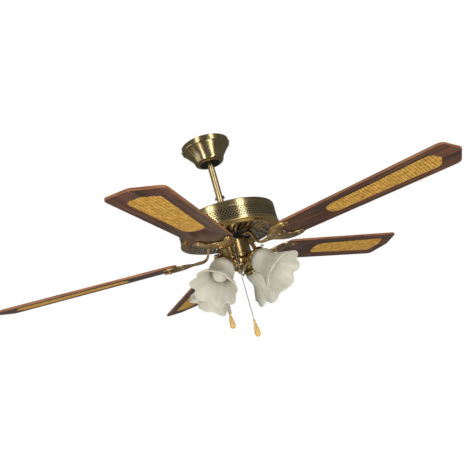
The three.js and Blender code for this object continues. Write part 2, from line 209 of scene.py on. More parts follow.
def lofted(rings: Sequence[Sequence[Vector]], capped: bool = True) -> Form:
    """Joins rings of equal length into a skin.

    Args:
        rings: the rings, in order.
        capped: whether the first and last rings are closed with a face.

    Returns:
        The lofted form.
    """
    form = Form()
    count = len(rings[0])
    for ring in rings:
        form.points += [p.copy() for p in ring]
    for i in range(len(rings) - 1):
        for k in range(count):
            j = (k + 1) % count
            form.face(i * count + k, i * count + j, (i + 1) * count + j, (i + 1) * count + k)
    if capped:
        last = (len(rings) - 1) * count
        form.face(*reversed(range(count)))
        form.face(*range(last, last + count))
    return form


def swept(line: Sequence[Point3], section: Callable[[float], Sequence[Point2]]) -> Form:
    """Carries a section along a line that lies in a plane of constant azimuth or runs straight.

    Args:
        line: the centre line.
        section: gives the (sideways, upwards) section points for a place from 0 to 1 along the line.

    Returns:
        The swept form, closed at both ends.
    """
    spots = [Vector(p) for p in line]
    side = Vector((0, 1, 0))
    rings = []
    for i, spot in enumerate(spots):
        ahead = spots[min(i + 1, len(spots) - 1)] - spots[max(i - 1, 0)]
        up = ahead.normalized().cross(side).normalized()
        rings.append([spot + side * x - up * z for x, z in section(i / (len(spots) - 1))])
    return lofted(rings)


def rounded_section(width: float, height: float, corner: float, steps: int = 3) -> list[Point2]:
    """The outline of a bar with rounded edges.

    Args:
        width: its whole width.
        height: its whole height.
        corner: the radius of its edges.
        steps: how many pieces make one edge.

    Returns:
        The outline, counter-clockwise.
    """
    points = []
    for quarter, (sx, sz) in enumerate(((1, 1), (-1, 1), (-1, -1), (1, -1))):
        cx, cz = sx * (width / 2 - corner), sz * (height / 2 - corner)
        for k in range(steps + 1):
            angle = TAU / 4 * (quarter + k / steps)
            points.append((cx + corner * math.cos(angle), cz + corner * math.sin(angle)))
    return points


def slab(outline: Sequence[Point2], low: float, high: float, edge: float, marks: bool = False) -> Form:
    """A flat plate with rounded edges.

    Args:
        outline: its outline, counter-clockwise.
        low: the height of its underside.
        high: the height of its top.
        edge: the radius of its edges.
        marks: whether the sides take material number 1.

    Returns:
        The plate.
    """
    count = len(outline)
    normals = []
    for i in range(count):
        a, b, c = (Vector(outline[(i + k) % count]) for k in (-1, 0, 1))
        first, second = (b - a).normalized(), (c - b).normalized()
        blend = (first + second).normalized()
        normals.append(Vector((blend.y, -blend.x)) / max(blend.dot(second), 0.4))
    rings = []
    steps = 3
    for side, height in ((-1, low), (1, high)):
        for k in range(steps + 1):
            turn = TAU / 4 * (k / steps if side < 0 else 1 - k / steps)
            inset = edge * (1 - math.sin(turn))
            z = height - side * edge * (1 - math.cos(turn))
            rings.append(
                [Vector((p[0] - n.x * inset, p[1] - n.y * inset, z)) for p, n in zip(outline, normals)]
            )
    form = lofted(rings)
    if marks:
        form.marks = [1] * (len(form.faces) - 2) + [0, 0]
    return form


def thickened(flat: Form, place: Callable[[Vector, float], Vector], depth: float) -> Form:
    """Gives a flat pierced sheet its thickness.

    Args:
        flat: the sheet, with every face once.
        place: puts a point of the sheet, at a depth, into space.
        depth: the thickness.

    Returns:
        The sheet with both its sides and the walls of its holes and rims. All but the first side has material
        number 1.
    """
    form = Form()
    count = len(flat.points)
    form.points = [place(p, 0.0) for p in flat.points] + [place(p, depth) for p in flat.points]
    edges: dict[tuple[int, int], int] = {}
    for face in flat.faces:
        form.face(*face)
        form.face(*(count + i for i in reversed(face)))
        for a, b in zip(face, face[1:] + face[:1]):
            edges[(a, b)] = edges.get((a, b), 0) + 1
    for a, b in edges:
        if (b, a) not in edges:
            form.face(b, a, count + a, count + b)
    for k in range(len(form.marks)):
        if k >= 2 * len(flat.faces) or k % 2:
            form.marks[k] = 1
    return form


def welded(form: Form, reach: float = 0.001) -> Form:
    """Merges points that lie on each other.

    Args:
        form: the form to clean.
        reach: points this close are one.

    Returns:
        The cleaned form.
    """
    seen: dict[tuple[int, int, int], int] = {}
    where = []
    kept: list[Vector] = []
    for p in form.points:
        key = tuple(round(v / reach) for v in p)
        if key not in seen:
            seen[key] = len(kept)
            kept.append(p)
        where.append(seen[key])
    clean = Form(points=kept)
    for face, mark in zip(form.faces, form.marks):
        corners = [where[i] for i in face]
        corners = [c for i, c in enumerate(corners) if c != corners[i - 1]]
        if len(corners) > 2:
            clean.faces.append(tuple(corners))
            clean.marks.append(mark)
    return clean


def about_z(degrees: float) -> Matrix:
    """Returns a turn about the fan's axis."""
    return Matrix.Rotation(math.radians(degrees), 4, "Z")


def at(x: float, y: float, z: float) -> Matrix:
    """Returns a move."""
    return Matrix.Translation((x, y, z))


def lying(azimuth: float, radius: float, height: float) -> Matrix:
    """Returns the place of something turned about Z that points outwards at an azimuth.

    Args:
        azimuth: direction in degrees.
        radius: how far from the axis its foot stands.
        height: its height.
    """
    return about_z(azimuth) @ at(radius, 0, height) @ Matrix.Rotation(TAU / 4, 4, "Y")


def screw(head: float, height: float, shank: float = 0.0, slot_width: float = 0.9) -> Form:
    """A round-headed screw with a cross slot, standing on z = 0.

    Args:
        head: radius of the head.
        height: how high the head stands.
        shank: length of the shank below the head.
        slot_width: width of its cross slot.

    Returns:
        The screw.
    """
    dome = smooth([(head, 0.25 * height), (head * 0.86, 0.7 * height), (head * 0.5, 0.93 * height)], 3)
    profile = [(0, -shank), (head * 0.5, -shank), (head * 0.5, 0), (head, 0), *dome, (0, height)]
    form = turned(profile, 24)
    # The cross slot is not cut: two thin bars stand just above the dome, and material number 1 paints them dark as
    # the slot's shade.
    for turn in (0, 90):
        bar = slab(
            [(-head * 0.6, -slot_width / 2), (head * 0.6, -slot_width / 2),
             (head * 0.6, slot_width / 2), (-head * 0.6, slot_width / 2)],
            height * 0.75, height * 1.02, 0.1,
        )
        form.add(bar, about_z(turn), mark=1)
    return form


# ------------------------------------------------------------------ finishes


class Nodes:
    """A small helper that wires one material's shader."""

    def __init__(self, name: str) -> None:
        """Starts an empty material with a principled shader.

        Args:
            name: the material's name.
        """
        self.material = bpy.data.materials.new(name)
        self.material.use_nodes = True
        self.tree = self.material.node_tree
        self.shader = self.tree.nodes["Principled BSDF"]

    def make(self, kind: str, **values: object) -> bpy.types.Node:
        """Adds a node and sets its own fields.

        Args:
            kind: the node's type.
            values: values by field or socket name.

        Returns:
            The node.
        """
        node = self.tree.nodes.new(kind)
        for key, value in values.items():
            setattr(node, key, value)
        return node

    def join(self, source: bpy.types.NodeSocket, target: bpy.types.NodeSocket) -> None:
        """Links two sockets."""
        self.tree.links.new(source, target)

    def set(self, **values: object) -> None:
        """Sets constant values on the shader, with _ for a space in a socket's name."""
        for key, value in values.items():
            self.shader.inputs[key.replace("_", " ")].default_value = value

    def local(self, scale: Point3) -> bpy.types.NodeSocket:
        """Returns the piece's own coordinates, stretched.

        Args:
            scale: how much each axis is stretched.

        Returns:
            The socket that gives it.
        """
        source = self.make("ShaderNodeAttribute", attribute_name="local")
        mapping = self.make("ShaderNodeMapping")
        mapping.inputs["Scale"].default_value = scale
        self.join(source.outputs["Vector"], mapping.inputs["Vector"])
        return mapping.outputs["Vector"]

    def noise(self, scale: float, detail: float = 3.0, stretch: Point3 = (1, 1, 1), warp: float = 0.0,
              rough: float = 0.5) -> bpy.types.NodeSocket:
        """Returns a noise value in the piece's own coordinates.

        Args:
            scale: how fine it is.
            detail: how many octaves it has.
            stretch: how much each axis is stretched.
            warp: how far it is bent.
            rough: how strong its fine octaves are.

        Returns:
            The socket that gives it.
        """
        node = self.make("ShaderNodeTexNoise")
        node.inputs["Scale"].default_value = scale
        node.inputs["Detail"].default_value = detail
        node.inputs["Roughness"].default_value = rough
        node.inputs["Distortion"].default_value = warp
        self.join(self.local(stretch), node.inputs["Vector"])
        return node.outputs["Fac"]

    def ramp(self, value: bpy.types.NodeSocket, stops: Sequence[tuple[float, Colour]]) -> bpy.types.NodeSocket:
        """Turns a value into a colour through stops of (place, linear colour).

        Args:
            value: the value to use.
            stops: (place, linear colour) pairs.

        Returns:
            The socket that gives it.
        """
        node = self.make("ShaderNodeValToRGB")
        ramp = node.color_ramp
        while len(ramp.elements) < len(stops):
            ramp.elements.new(0.5)
        for element, (place, colour) in zip(ramp.elements, stops):
            element.position = place
            element.color = (*colour, 1)
        self.join(value, node.inputs["Fac"])
        return node.outputs["Color"]

    def span(self, value: bpy.types.NodeSocket, low: float, high: float, start: float = 0.3,
             end: float = 0.7) -> bpy.types.NodeSocket:
        """Maps a value between start and end onto low to high.

        Args:
            value: the value to use.
            low: the result at the start.
            high: the result at the end.
            start: the value where it starts.
            end: the value where it ends.

        Returns:
            The socket that gives it.
        """
        node = self.make("ShaderNodeMapRange")
        for key, number in (("From Min", start), ("From Max", end), ("To Min", low), ("To Max", high)):
            node.inputs[key].default_value = number
        self.join(value, node.inputs["Value"])
        return node.outputs["Result"]

    def blend(self, mode: str, amount: float, first: bpy.types.NodeSocket,
              second: bpy.types.NodeSocket) -> bpy.types.NodeSocket:
        """Mixes two colours.

        Args:
            mode: how the two are mixed.
            amount: how much of the mix shows.
            first: the first colour.
            second: the second colour.

        Returns:
            The socket that gives it.
        """
        node = self.make("ShaderNodeMix", data_type="RGBA", blend_type=mode)
        node.inputs["Factor"].default_value = amount
        self.join(first, node.inputs["A"])
        self.join(second, node.inputs["B"])
        return node.outputs["Result"]

    def bump(self, value: bpy.types.NodeSocket, strength: float, distance: float) -> None:
        """Drives the shader's normal from a height.

        Args:
            value: the value to use.
            strength: how strongly it acts.
            distance: height of the relief, in metres.
        """
        node = self.make("ShaderNodeBump")
        node.inputs["Strength"].default_value = strength
        node.inputs["Distance"].default_value = distance
        self.join(value, node.inputs["Height"])
        self.join(node.outputs["Normal"], self.shader.inputs["Normal"])


@dataclass(frozen=True)
class BrassFinish:
    """Antique brass: polished metal with a brown patina that gathers in clouds.

    Args:
        name: the material's name.
        bright: colour where the lacquer is clean.
        dull: colour of the patina.
        roughness: the polish, low and high.
        casting: height of the cast skin's unevenness, in millimetres.
    """

    name: str = "antique_brass"
    bright: Colour = (0.60, 0.475, 0.26)
    dull: Colour = (0.47, 0.35, 0.165)
    roughness: tuple[float, float] = (0.19, 0.23)
    casting: float = 0.005

    def make(self) -> bpy.types.Material:
        """Builds the material.

        Returns:
            The material.
        """
        n = Nodes(self.name)
        cloud = n.noise(26, 4, warp=0.6)
        n.join(n.ramp(cloud, [(0.32, self.dull), (0.62, self.bright)]), n.shader.inputs["Base Color"])
        n.join(n.span(n.noise(55, 3), *self.roughness), n.shader.inputs["Roughness"])
        n.set(Metallic=1.0)
        n.bump(n.noise(240, 2), min(2.2 * self.casting, 0.3), self.casting * MM)
        return n.material


@dataclass(frozen=True)
class WalnutFinish:
    """Dark walnut with long streaks, pores and a satin lacquer."""

    name: str = "walnut"
    deep: Colour = (0.031, 0.0135, 0.0085)
    middle: Colour = (0.106, 0.044, 0.023)
    pale: Colour = (0.24, 0.100, 0.042)
    roughness: tuple[float, float] = (0.34, 0.48)

    def make(self) -> bpy.types.Material:
        """Builds the material.

        Returns:
            The material.
        """
        n = Nodes(self.name)
        figure = n.noise(9, 5, stretch=(0.35, 5.5, 1), warp=1.4, rough=0.62)
        streak = n.noise(30, 6, stretch=(0.22, 9, 3), warp=0.5, rough=0.7)
        base = n.ramp(figure, [(0.34, self.deep), (0.5, self.middle), (0.72, self.pale)])
        lines = n.ramp(streak, [(0.42, (0.35, 0.33, 0.34)), (0.60, (1.0, 1.0, 1.0))])
        mixed = n.blend("MULTIPLY", 0.72, base, lines)
        pores = n.noise(130, 3, stretch=(0.12, 7, 3), rough=0.6)
        flecks = n.ramp(pores, [(0.36, (0.30, 0.26, 0.26)), (0.46, (1.0, 1.0, 1.0))])
        n.join(n.blend("MULTIPLY", 0.6, mixed, flecks), n.shader.inputs["Base Color"])
        n.join(n.span(streak, *self.roughness), n.shader.inputs["Roughness"])
        n.set(Coat_Weight=0.25, Coat_Roughness=0.22)
        n.bump(pores, 0.25, 0.15 * MM)
        return n.material


@dataclass(frozen=True)
class EdgeBandFinish:
    """The lighter orange-brown edge of the blades."""

    name: str = "edge_band"
    dark: Colour = (0.13, 0.046, 0.017)
    light: Colour = (0.33, 0.130, 0.044)

    def make(self) -> bpy.types.Material:
        """Builds the material.

        Returns:
            The material.
        """
        n = Nodes(self.name)
        grain = n.noise(40, 4, stretch=(0.3, 0.3, 7), warp=0.4)
        n.join(n.ramp(grain, [(0.35, self.dark), (0.62, self.light)]), n.shader.inputs["Base Color"])
        n.join(n.span(grain, 0.38, 0.5), n.shader.inputs["Roughness"])
        n.bump(grain, 0.2, 0.1 * MM)
        return n.material


@dataclass(frozen=True)
class CaneFinish:
    """Split cane: golden strands with fibres along them."""

    name: str
    dark: Colour
    light: Colour
    roughness: tuple[float, float] = (0.38, 0.55)

    def make(self) -> bpy.types.Material:
        """Builds the material.

        Returns:
            The material.
        """
        n = Nodes(self.name)
        tint = n.noise(70, 4, warp=0.3)
        fibre = n.noise(900, 2, stretch=(0.6, 1, 1))
        colour = n.ramp(tint, [(0.32, self.dark), (0.66, self.light)])
        shade = n.ramp(fibre, [(0.35, (0.72, 0.70, 0.66)), (0.6, (1.0, 1.0, 1.0))])
        n.join(n.blend("MULTIPLY", 0.5, colour, shade), n.shader.inputs["Base Color"])
        n.join(n.span(tint, *self.roughness), n.shader.inputs["Roughness"])
        n.bump(fibre, 0.3, 0.08 * MM)
        return n.material


@dataclass(frozen=True)
class FrostedGlassFinish:
    """Thick frosted glass with faint milky clouds."""

    name: str = "frosted_glass"
    milk: Colour = (0.73, 0.685, 0.555)
    green: Colour = (0.62, 0.60, 0.49)
    roughness: tuple[float, float] = (0.30, 0.42)
    passing: float = 0.28

    def make(self) -> bpy.types.Material:
        """Builds the material.

        Returns:
            The material.
        """
        n = Nodes(self.name)
        cloud = n.noise(16, 3, warp=1.2)
        n.join(n.ramp(cloud, [(0.34, self.green), (0.64, self.milk)]), n.shader.inputs["Base Color"])
        n.join(n.span(n.noise(160, 2), *self.roughness), n.shader.inputs["Roughness"])
        n.set(
            Transmission_Weight=self.passing, IOR=1.45, Subsurface_Weight=0.35, Subsurface_Scale=0.012,
            Subsurface_Radius=(1.0, 0.95, 0.8), Coat_Weight=0.15, Coat_Roughness=0.3,
        )
        n.bump(n.noise(34, 3, warp=0.8), 0.35, 1.2 * MM)
        return n.material


@dataclass(frozen=True)
class PlainFinish:
    """A moulded, painted or plated surface with a fine uneven skin.

    Args:
        name: the material's name.
        low: the darker of its two tones.
        high: the lighter of its two tones.
        roughness: gloss, low and high.
        metallic: 1 for metal.
        grain: how fine the tone varies.
        skin: height of the skin's unevenness, in millimetres.
    """

    name: str
    low: Colour
    high: Colour
    roughness: tuple[float, float]
    metallic: float = 0.0
    grain: float = 60.0
    skin: float = 0.02

    def make(self) -> bpy.types.Material:
        """Builds the material.

        Returns:
            The material.
        """
        n = Nodes(self.name)
        tone = n.noise(self.grain, 4)
        n.join(n.ramp(tone, [(0.34, self.low), (0.66, self.high)]), n.shader.inputs["Base Color"])
        n.join(n.span(n.noise(self.grain * 2, 2), *self.roughness), n.shader.inputs["Roughness"])
        n.set(Metallic=self.metallic)
        n.bump(n.noise(600, 2), 0.3, self.skin * MM)
        return n.material


@dataclass(frozen=True)
class FobFinish:
    """Honey-coloured turned wood under clear lacquer."""

    name: str = "honey_wood"
    dark: Colour = (0.43, 0.23, 0.05)
    light: Colour = (0.74, 0.49, 0.15)

    def make(self) -> bpy.types.Material:
        """Builds the material.

        Returns:
            The material.
        """
        n = Nodes(self.name)
        grain = n.noise(150, 5, stretch=(2.2, 2.2, 0.14), warp=0.8)
        n.join(n.ramp(grain, [(0.34, self.dark), (0.62, self.light)]), n.shader.inputs["Base Color"])
        n.join(n.span(grain, 0.22, 0.34), n.shader.inputs["Roughness"])
        n.set(Coat_Weight=0.6, Coat_Roughness=0.08)
        n.bump(grain, 0.15, 0.05 * MM)
        return n.material


class Finishes:
    """Every material of the fan, made once."""

    def __init__(self) -> None:
        """Makes the materials."""
        self.brass = BrassFinish().make()
        self.cast_brass = BrassFinish(
            "cast_brass", (0.78, 0.54, 0.25), (0.34, 0.20, 0.08), (0.24, 0.34), 0.06
        ).make()
        self.gold_trim = BrassFinish("gold_trim", (0.86, 0.64, 0.27), (0.66, 0.46, 0.18), (0.14, 0.24)).make()
        self.satin_brass = BrassFinish("satin_brass", (0.78, 0.61, 0.32), (0.66, 0.50, 0.24), (0.27, 0.34)).make()
        self.walnut = WalnutFinish().make()
        self.edge_band = EdgeBandFinish().make()
        self.cane = CaneFinish("split_cane", (0.40, 0.205, 0.030), (0.66, 0.385, 0.070)).make()
        self.cane_back = CaneFinish("cane_backing", (0.10, 0.042, 0.008), (0.17, 0.078, 0.015)).make()
        self.glass = FrostedGlassFinish().make()
        self.bulb = PlainFinish("opal_bulb", (0.50, 0.475, 0.375), (0.58, 0.555, 0.45), (0.2, 0.28)).make()
        self.steel = PlainFinish("zinc_steel", (0.36, 0.37, 0.38), (0.56, 0.56, 0.56), (0.28, 0.42), 1.0).make()
        # Black enamel of the flywheel and stator; also painted shade on the inner faces of the canopy, drum band and
        # vent plate.
        self.black = PlainFinish("black_enamel_and_painted_shade", (0.010, 0.010, 0.011), (0.026, 0.025, 0.024), (0.32, 0.5)).make()
        self.plastic = PlainFinish("black_plastic", (0.014, 0.014, 0.015), (0.03, 0.03, 0.03), (0.4, 0.55)).make()
        self.porcelain = PlainFinish("porcelain", (0.66, 0.63, 0.55), (0.76, 0.74, 0.68), (0.15, 0.25)).make()
        self.copper = PlainFinish("winding", (0.22, 0.06, 0.02), (0.50, 0.17, 0.06), (0.3, 0.45), 1.0, 240).make()
        # Painted shade: this dark finish on the screw slots stands in for the shadow inside a cut slot.
        self.recess = PlainFinish("painted_slot_shade", (0.03, 0.02, 0.008), (0.06, 0.04, 0.016), (0.5, 0.7), 1.0).make()
        self.nickel = PlainFinish("nickel", (0.42, 0.41, 0.38), (0.62, 0.61, 0.57), (0.2, 0.3), 1.0).make()
        self.fob = FobFinish().make()


# ------------------------------------------------------------------ pieces


def piece(
    name: str,
    form: Form,
    looks: bpy.types.Material | Sequence[bpy.types.Material],
    body: Body,
    slot: Slot,
    place: Matrix | None = None,
    stands_for: Sequence[str] = (),
    crease: float = 32.0,
) -> bpy.types.Object:
    """Makes a mesh object from a form and joins it to the frame.

    Args:
        name: the piece's name.
        form: its shape in millimetres, in its own frame.
        looks: one material, or one for each material number.
        body: the body it rides on.
        slot: the record's slot for its finish; not used.
        place: where it goes in the fan.
        stands_for: the CAD nodes that it replaces.
        crease: edges sharper than this many degrees stay sharp.

    Returns:
        The object.
    """
    mesh = bpy.data.meshes.new(name)
    placed = [(place @ p if place else p) * MM for p in form.points]
    mesh.from_pydata([tuple(p) for p in placed], [], form.faces)
    materials = list(looks) if isinstance(looks, (list, tuple)) else [looks]
    for look in materials:
        mesh.materials.append(look)
    mesh.polygons.foreach_set("material_index", [min(m, len(materials) - 1) for m in form.marks])
    own = mesh.attributes.new("local", "FLOAT_VECTOR", "POINT")
    own.data.foreach_set("vector", [c * MM for p in form.points for c in p])
    tidy = bmesh.new()
    tidy.from_mesh(mesh)
    bmesh.ops.recalc_face_normals(tidy, faces=tidy.faces)
    limit = math.radians(crease)
    for edge in tidy.edges:
        edge.smooth = edge.calc_face_angle(math.pi) < limit
    for face in tidy.faces:
        face.smooth = True
    tidy.to_mesh(mesh)
    tidy.free()
    made = bpy.data.objects.new(name, mesh)
    bpy.context.scene.collection.objects.link(made)
    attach(made, body.value)
    if stands_for:
        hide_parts(*stands_for)
    LOG.info("piece %s with %d faces", name, len(mesh.polygons))
    return made


@dataclass
class CeilingMount:
    """The bracket on the ceiling, the spun canopy and its two screws.

    Args:
        finishes: the fan's materials.
        radius: radius of the canopy's band.
        screw_height: height of the canopy screws.
    """

    finishes: Finishes
    radius: float = 70.0
    screw_height: float = -9.0

    def canopy_form(self) -> Form:
        """Shapes the canopy: grooved band, bell side, rolled neck and its inner wall.

        Returns:
            The form, in millimetres.
        """
        r = self.radius
        band = [
            (r - 1.4, -1.5), (r - 0.6, -1.5), (r, -2.1), (r, -4.2), (r - 0.7, -4.6), (r - 0.7, -5.4), (r, -5.8),
            (r, -11.6), (r - 0.7, -12.0), (r - 0.7, -12.8), (r, -13.2), (r, -16.0), (r - 0.5, -17.0),
        ]
        side = smooth([(r - 0.5, -17.0), (66.0, -20.2), (57.2, -31), (49.8, -41), (45.6, -48), (43.2, -53.5)], 4)
        neck = smooth([(43.2, -53.5), (42.4, -57.4), (39.6, -61.0), (35.4, -63.3), (31, -64), (29.2, -63.6)], 4)
        inner = [(29.2, -62.6), (35, -61.4), (40, -56.6), (44, -48), (55.6, -31), (r - 2.6, -17.4), (r - 1.4, -15)]
        outside = [*band, *side[1:], *neck[1:]]
        form = turned([*outside, *inner], 128)
        # The inner wall takes material number 1, painted black as the shade inside the canopy.
        form.marks[128 * len(outside):] = [1] * (128 * len(inner))
        return form

    def build(self) -> None:
        """Builds the canopy and its screws, and dresses the bracket."""
        f = self.finishes
        piece("canopy_shell", self.canopy_form(), [f.brass, f.black], Body.CEILING, Slot.BRASS, stands_for=["canopy"])
        for side, azimuth in (("right", 0), ("left", 180)):
            head = screw(4.0, 2.2, shank=13)
            place = lying(azimuth, self.radius + 0.3, self.screw_height)
            piece(f"canopy_screw_head_{side}", head, [f.brass, f.recess], Body.CEILING, Slot.BRASS, place,
                  [f"canopy_screw_{side}"])
        dress("hanger_bracket", f.steel)


def dress(node: str, look: bpy.types.Material) -> None:
    """Gives a CAD node a better material.

    Args:
        node: the node's name.
        look: its material.
    """
    for made in bpy.data.objects:
        if made.type == "MESH" and made.name == node:
            mesh = made.data
            if "local" not in mesh.attributes:
                own = mesh.attributes.new("local", "FLOAT_VECTOR", "POINT")
                own.data.foreach_set("vector", [c for v in mesh.vertices for c in v.co])
            for i in range(max(1, len(made.material_slots))):
                made.material_slots[i].material = look
    LOG.info("dressed %s", node)


@dataclass
class Downrod:
    """The tube between the ceiling and the motor, with the ball, its pin and the coupling bolt."""

    finishes: Finishes
    radius: float = 9.5
    bore: float = 7.5
    top: float = -18.0
    bottom: float = BLADE_PLANE + 124
    ball_height: float = -34.0
    bolt_height: float = BLADE_PLANE + 168

    def bolt_form(self) -> Form:
        """Shapes the coupling bolt, lying along X, with a hexagon head, a washer and a nut.

        Returns:
            The form, in millimetres.
        """
        form = Form()
        shank = turned([(0, -13), (2.4, -13), (2.7, -12.6), (2.7, 12), (0, 12)], 20)
        head = turned([(2.7, self.radius + 1.3), (4.6, self.radius + 1.3), (5, self.radius + 1.7),
                       (5, self.radius + 4), (4.3, self.radius + 4.6), (0, self.radius + 4.6),
                       (0, self.radius + 4.4), (2.7, self.radius + 4.2)], 6)
        washer = turned([(2.7, self.radius + 0.3), (6, self.radius + 0.3), (6, self.radius + 1.3),
                         (2.7, self.radius + 1.3)], 32)
        nut = turned([(2.7, -self.radius - 4), (4.7, -self.radius - 4), (5.1, -self.radius - 3.5),
                      (5.1, -self.radius - 0.5), (2.7, -self.radius - 0.5)], 6)
        for part in (shank, head, washer, nut):
            form.add(part)
        return form

    def build(self) -> None:
        """Builds the rod and its fittings."""
        f = self.finishes
        tube = turned([
            (self.bore, self.bottom), (self.radius - 0.6, self.bottom), (self.radius, self.bottom + 0.6),
            (self.radius, self.top - 0.6), (self.radius - 0.6, self.top), (self.bore, self.top),
        ], 64)
        piece("downrod_tube", tube, f.satin_brass, Body.FAN, Slot.BRASS, stands_for=["downrod"])
        across = at(0, 0, self.bolt_height) @ Matrix.Rotation(TAU / 4, 4, "Y")
        piece("coupling_bolt_set", self.bolt_form(), f.steel, Body.FAN, Slot.STEEL, across, ["coupling_bolt"])
        reach = math.sqrt(24**2 - 9.8**2)
        start = math.atan2(reach, 9.8)
        arc = [(24 * math.cos(start - 2 * start * k / 24), 24 * math.sin(start - 2 * start * k / 24))
               for k in range(25)]
        piece("ball", turned(arc, 64), f.plastic, Body.FAN, Slot.PLASTIC, at(0, 0, self.ball_height),
              ["hanger_ball"])
        dress("ball_pin", f.steel)
        dress("motor_shaft", f.steel)


@dataclass
class MotorDrum:
    """The brass drum round the motor: cover, pierced band, moulding and vented bottom.

    Args:
        finishes: the fan's materials.
        radius: radius of the drum's wall.
        columns: holes in one row of the band.
        rows: rows of holes.
        hole: radius of a hole.
        vents: slots in the bottom plate.
        band_foot: plain strip under the holes.
        band_head: plain strip over the holes.
        sheet: thickness of the band.
        hole_sides: how many edges go round a hole.
    """

    finishes: Finishes
    radius: float = 141.0
    columns: int = 112
    rows: int = 5
    hole: float = 2.25
    vents: int = 40
    top: float = BLADE_PLANE + 109
    band_top: float = BLADE_PLANE + 91
    band_bottom: float = BLADE_PLANE + 54
    vent_height: float = BLADE_PLANE + 42
    band_foot: float = 4.4
    band_head: float = 2.8
    sheet: float = 1.4
    hole_sides: int = 16

    def cover_form(self) -> Form:
        """Shapes the low dome with a rounded shoulder and a plain band with a groove.

        Returns:
            The form, in millimetres.
        """
        r, top = self.radius, self.top
        inner = [(7.3, top + 4.2), (20, top + 4.2), (r - 9, top - 1.6), (r - 3.4, top - 4.5), (r - 1.6, top - 9),
                 (r - 1.6, self.band_top + 0.3)]
        wall = [(r - 0.5, self.band_top + 0.3), (r - 0.1, self.band_top + 0.7), (r - 0.1, top - 7.6),
                (r - 1.3, top - 7.2), (r - 1.3, top - 6.4), (r - 0.2, top - 6.0)]
        shoulder = smooth([(r - 0.2, top - 6.0), (r + 0.2, top - 4.0), (r - 1.2, top - 1.6), (r - 4.4, top - 0.2),
                           (r - 8, top + 0.2)], 4)
        dome = smooth([(r - 8, top + 0.2), (100, top + 2.6), (60, top + 4.9), (24, top + 6.4)], 3)
        neck = smooth([(24, top + 6.4), (17, top + 7.2), (13.5, top + 9.4), (12.4, top + 12)], 3)
        return turned([*inner, *wall[:-1], *shoulder, *dome[1:], *neck[1:], (7.3, top + 12)], 144)

    def band_form(self) -> Form:
        """Shapes the band with its rows of staggered round holes.

        Returns:
            The form, in millimetres.
        """
        low, high = self.band_bottom + 0.3, self.band_top
        foot, head = self.band_foot, self.band_head
        height = (high - low - foot - head) / self.rows
        half = TAU / self.columns / 2
        arc = half * self.radius
        flat = Form()

        def corner(step: float, level: float) -> int:
            """Adds a corner of the band.

            Args:
                step: place along the band, in half columns.
                level: its height.

            Returns:
                The number of the new point.
            """
            flat.points.append(Vector((step * arc, level, 0)))
            return len(flat.points) - 1

        for row in range(self.rows):
            z0 = low + foot + row * height
            z1 = z0 + height
            middle = (z0 + z1) / 2
            for column in range(self.columns):
                first = 2 * column + row % 2
                rim = [corner(first + x, z) for x, z in (
                    (2, middle), (2, z1), (1, z1), (0, z1), (0, middle), (0, z0), (1, z0), (2, z0))]
                ring = []
                for k in range(self.hole_sides):
                    angle = TAU * k / self.hole_sides
                    flat.points.append(Vector((
                        (first + 1) * arc + self.hole * math.cos(angle), middle + self.hole * math.sin(angle), 0)))
                    ring.append(len(flat.points) - 1)
                for k in range(8):
                    flat.face(rim[k], rim[(k + 1) % 8], ring[(2 * k + 2) % 16], ring[2 * k + 1], ring[2 * k])
        for z0, z1 in ((low, low + foot), (high - head, high)):
            for step in range(2 * self.columns):
                flat.face(corner(step, z0), corner(step + 1, z0), corner(step + 1, z1), corner(step, z1))
        turns = 2 * self.columns * arc
        for p in flat.points:
            if p.x >= turns - 1e-6:
                p.x -= turns
        flat = welded(flat)

        def place(p: Vector, depth: float) -> Vector:
            """Puts a point of the flat sheet into space.

            Args:
                p: the point on the flat sheet.
                depth: how deep under the outer face it lies.

            Returns:
                The point in space.
            """
            angle = p.x / self.radius
            r = self.radius - 0.6 - depth
            return Vector((r * math.cos(angle), r * math.sin(angle), p.y))

        # The inner face and the hole walls take material number 1, painted black as the shade behind the holes.
        return thickened(flat, place, self.sheet)

    def moulding_form(self) -> Form:
        """Shapes the rolled bead and ogee under the band.

        Returns:
            The form, in millimetres.
        """
        r, b = self.radius, self.band_bottom
        bead = smooth([(r - 0.6, b), (r + 1.1, b - 0.8), (r + 1.5, b - 2.2), (r + 0.3, b - 3.6),
                       (r - 1.2, b - 4.0)], 4)
        ogee = smooth([(r - 1.2, b - 4.0), (r - 4.5, b - 4.4), (r - 9, b - 6.6), (r - 12.6, b - 8.9),
                       (r - 16, b - 9.5)], 4)
        return turned([(r - 3, b), *bead, *ogee[1:], (r - 16, b - 7.6), (r - 10, b - 5)], 144)

    def vent_form(self) -> Form:
        """Shapes the shallow bottom plate with its ring of round-ended slots.

        Returns:
            The form, in millimetres.
        """
        inner, outer = 64.0, self.radius - 17.0
        start, end, half_width = 71.0, 118.0, 3.3
        flat = Form()

        def spot(x: float, y: float, turn: float) -> int:
            """Adds a point of the slotted plate.

            Args:
                x: place along the slot.
                y: place across the slot.
                turn: azimuth of the slot, in degrees.

            Returns:
                The number of the new point.
            """
            flat.points.append(about_z(turn) @ Vector((x, y, 0)))
            return len(flat.points) - 1

        half = math.pi / self.vents
        for k in range(self.vents):
            turn = 360 * k / self.vents

            def edge(radius: float, side: int) -> int:
                """Adds a point on the side of a sector.

                Args:
                    radius: distance from the axis.
                    side: -1 or 1, the side of the sector.

                Returns:
                    The number of the new point.
                """
                return spot(radius * math.cos(half), side * radius * math.sin(half), turn)

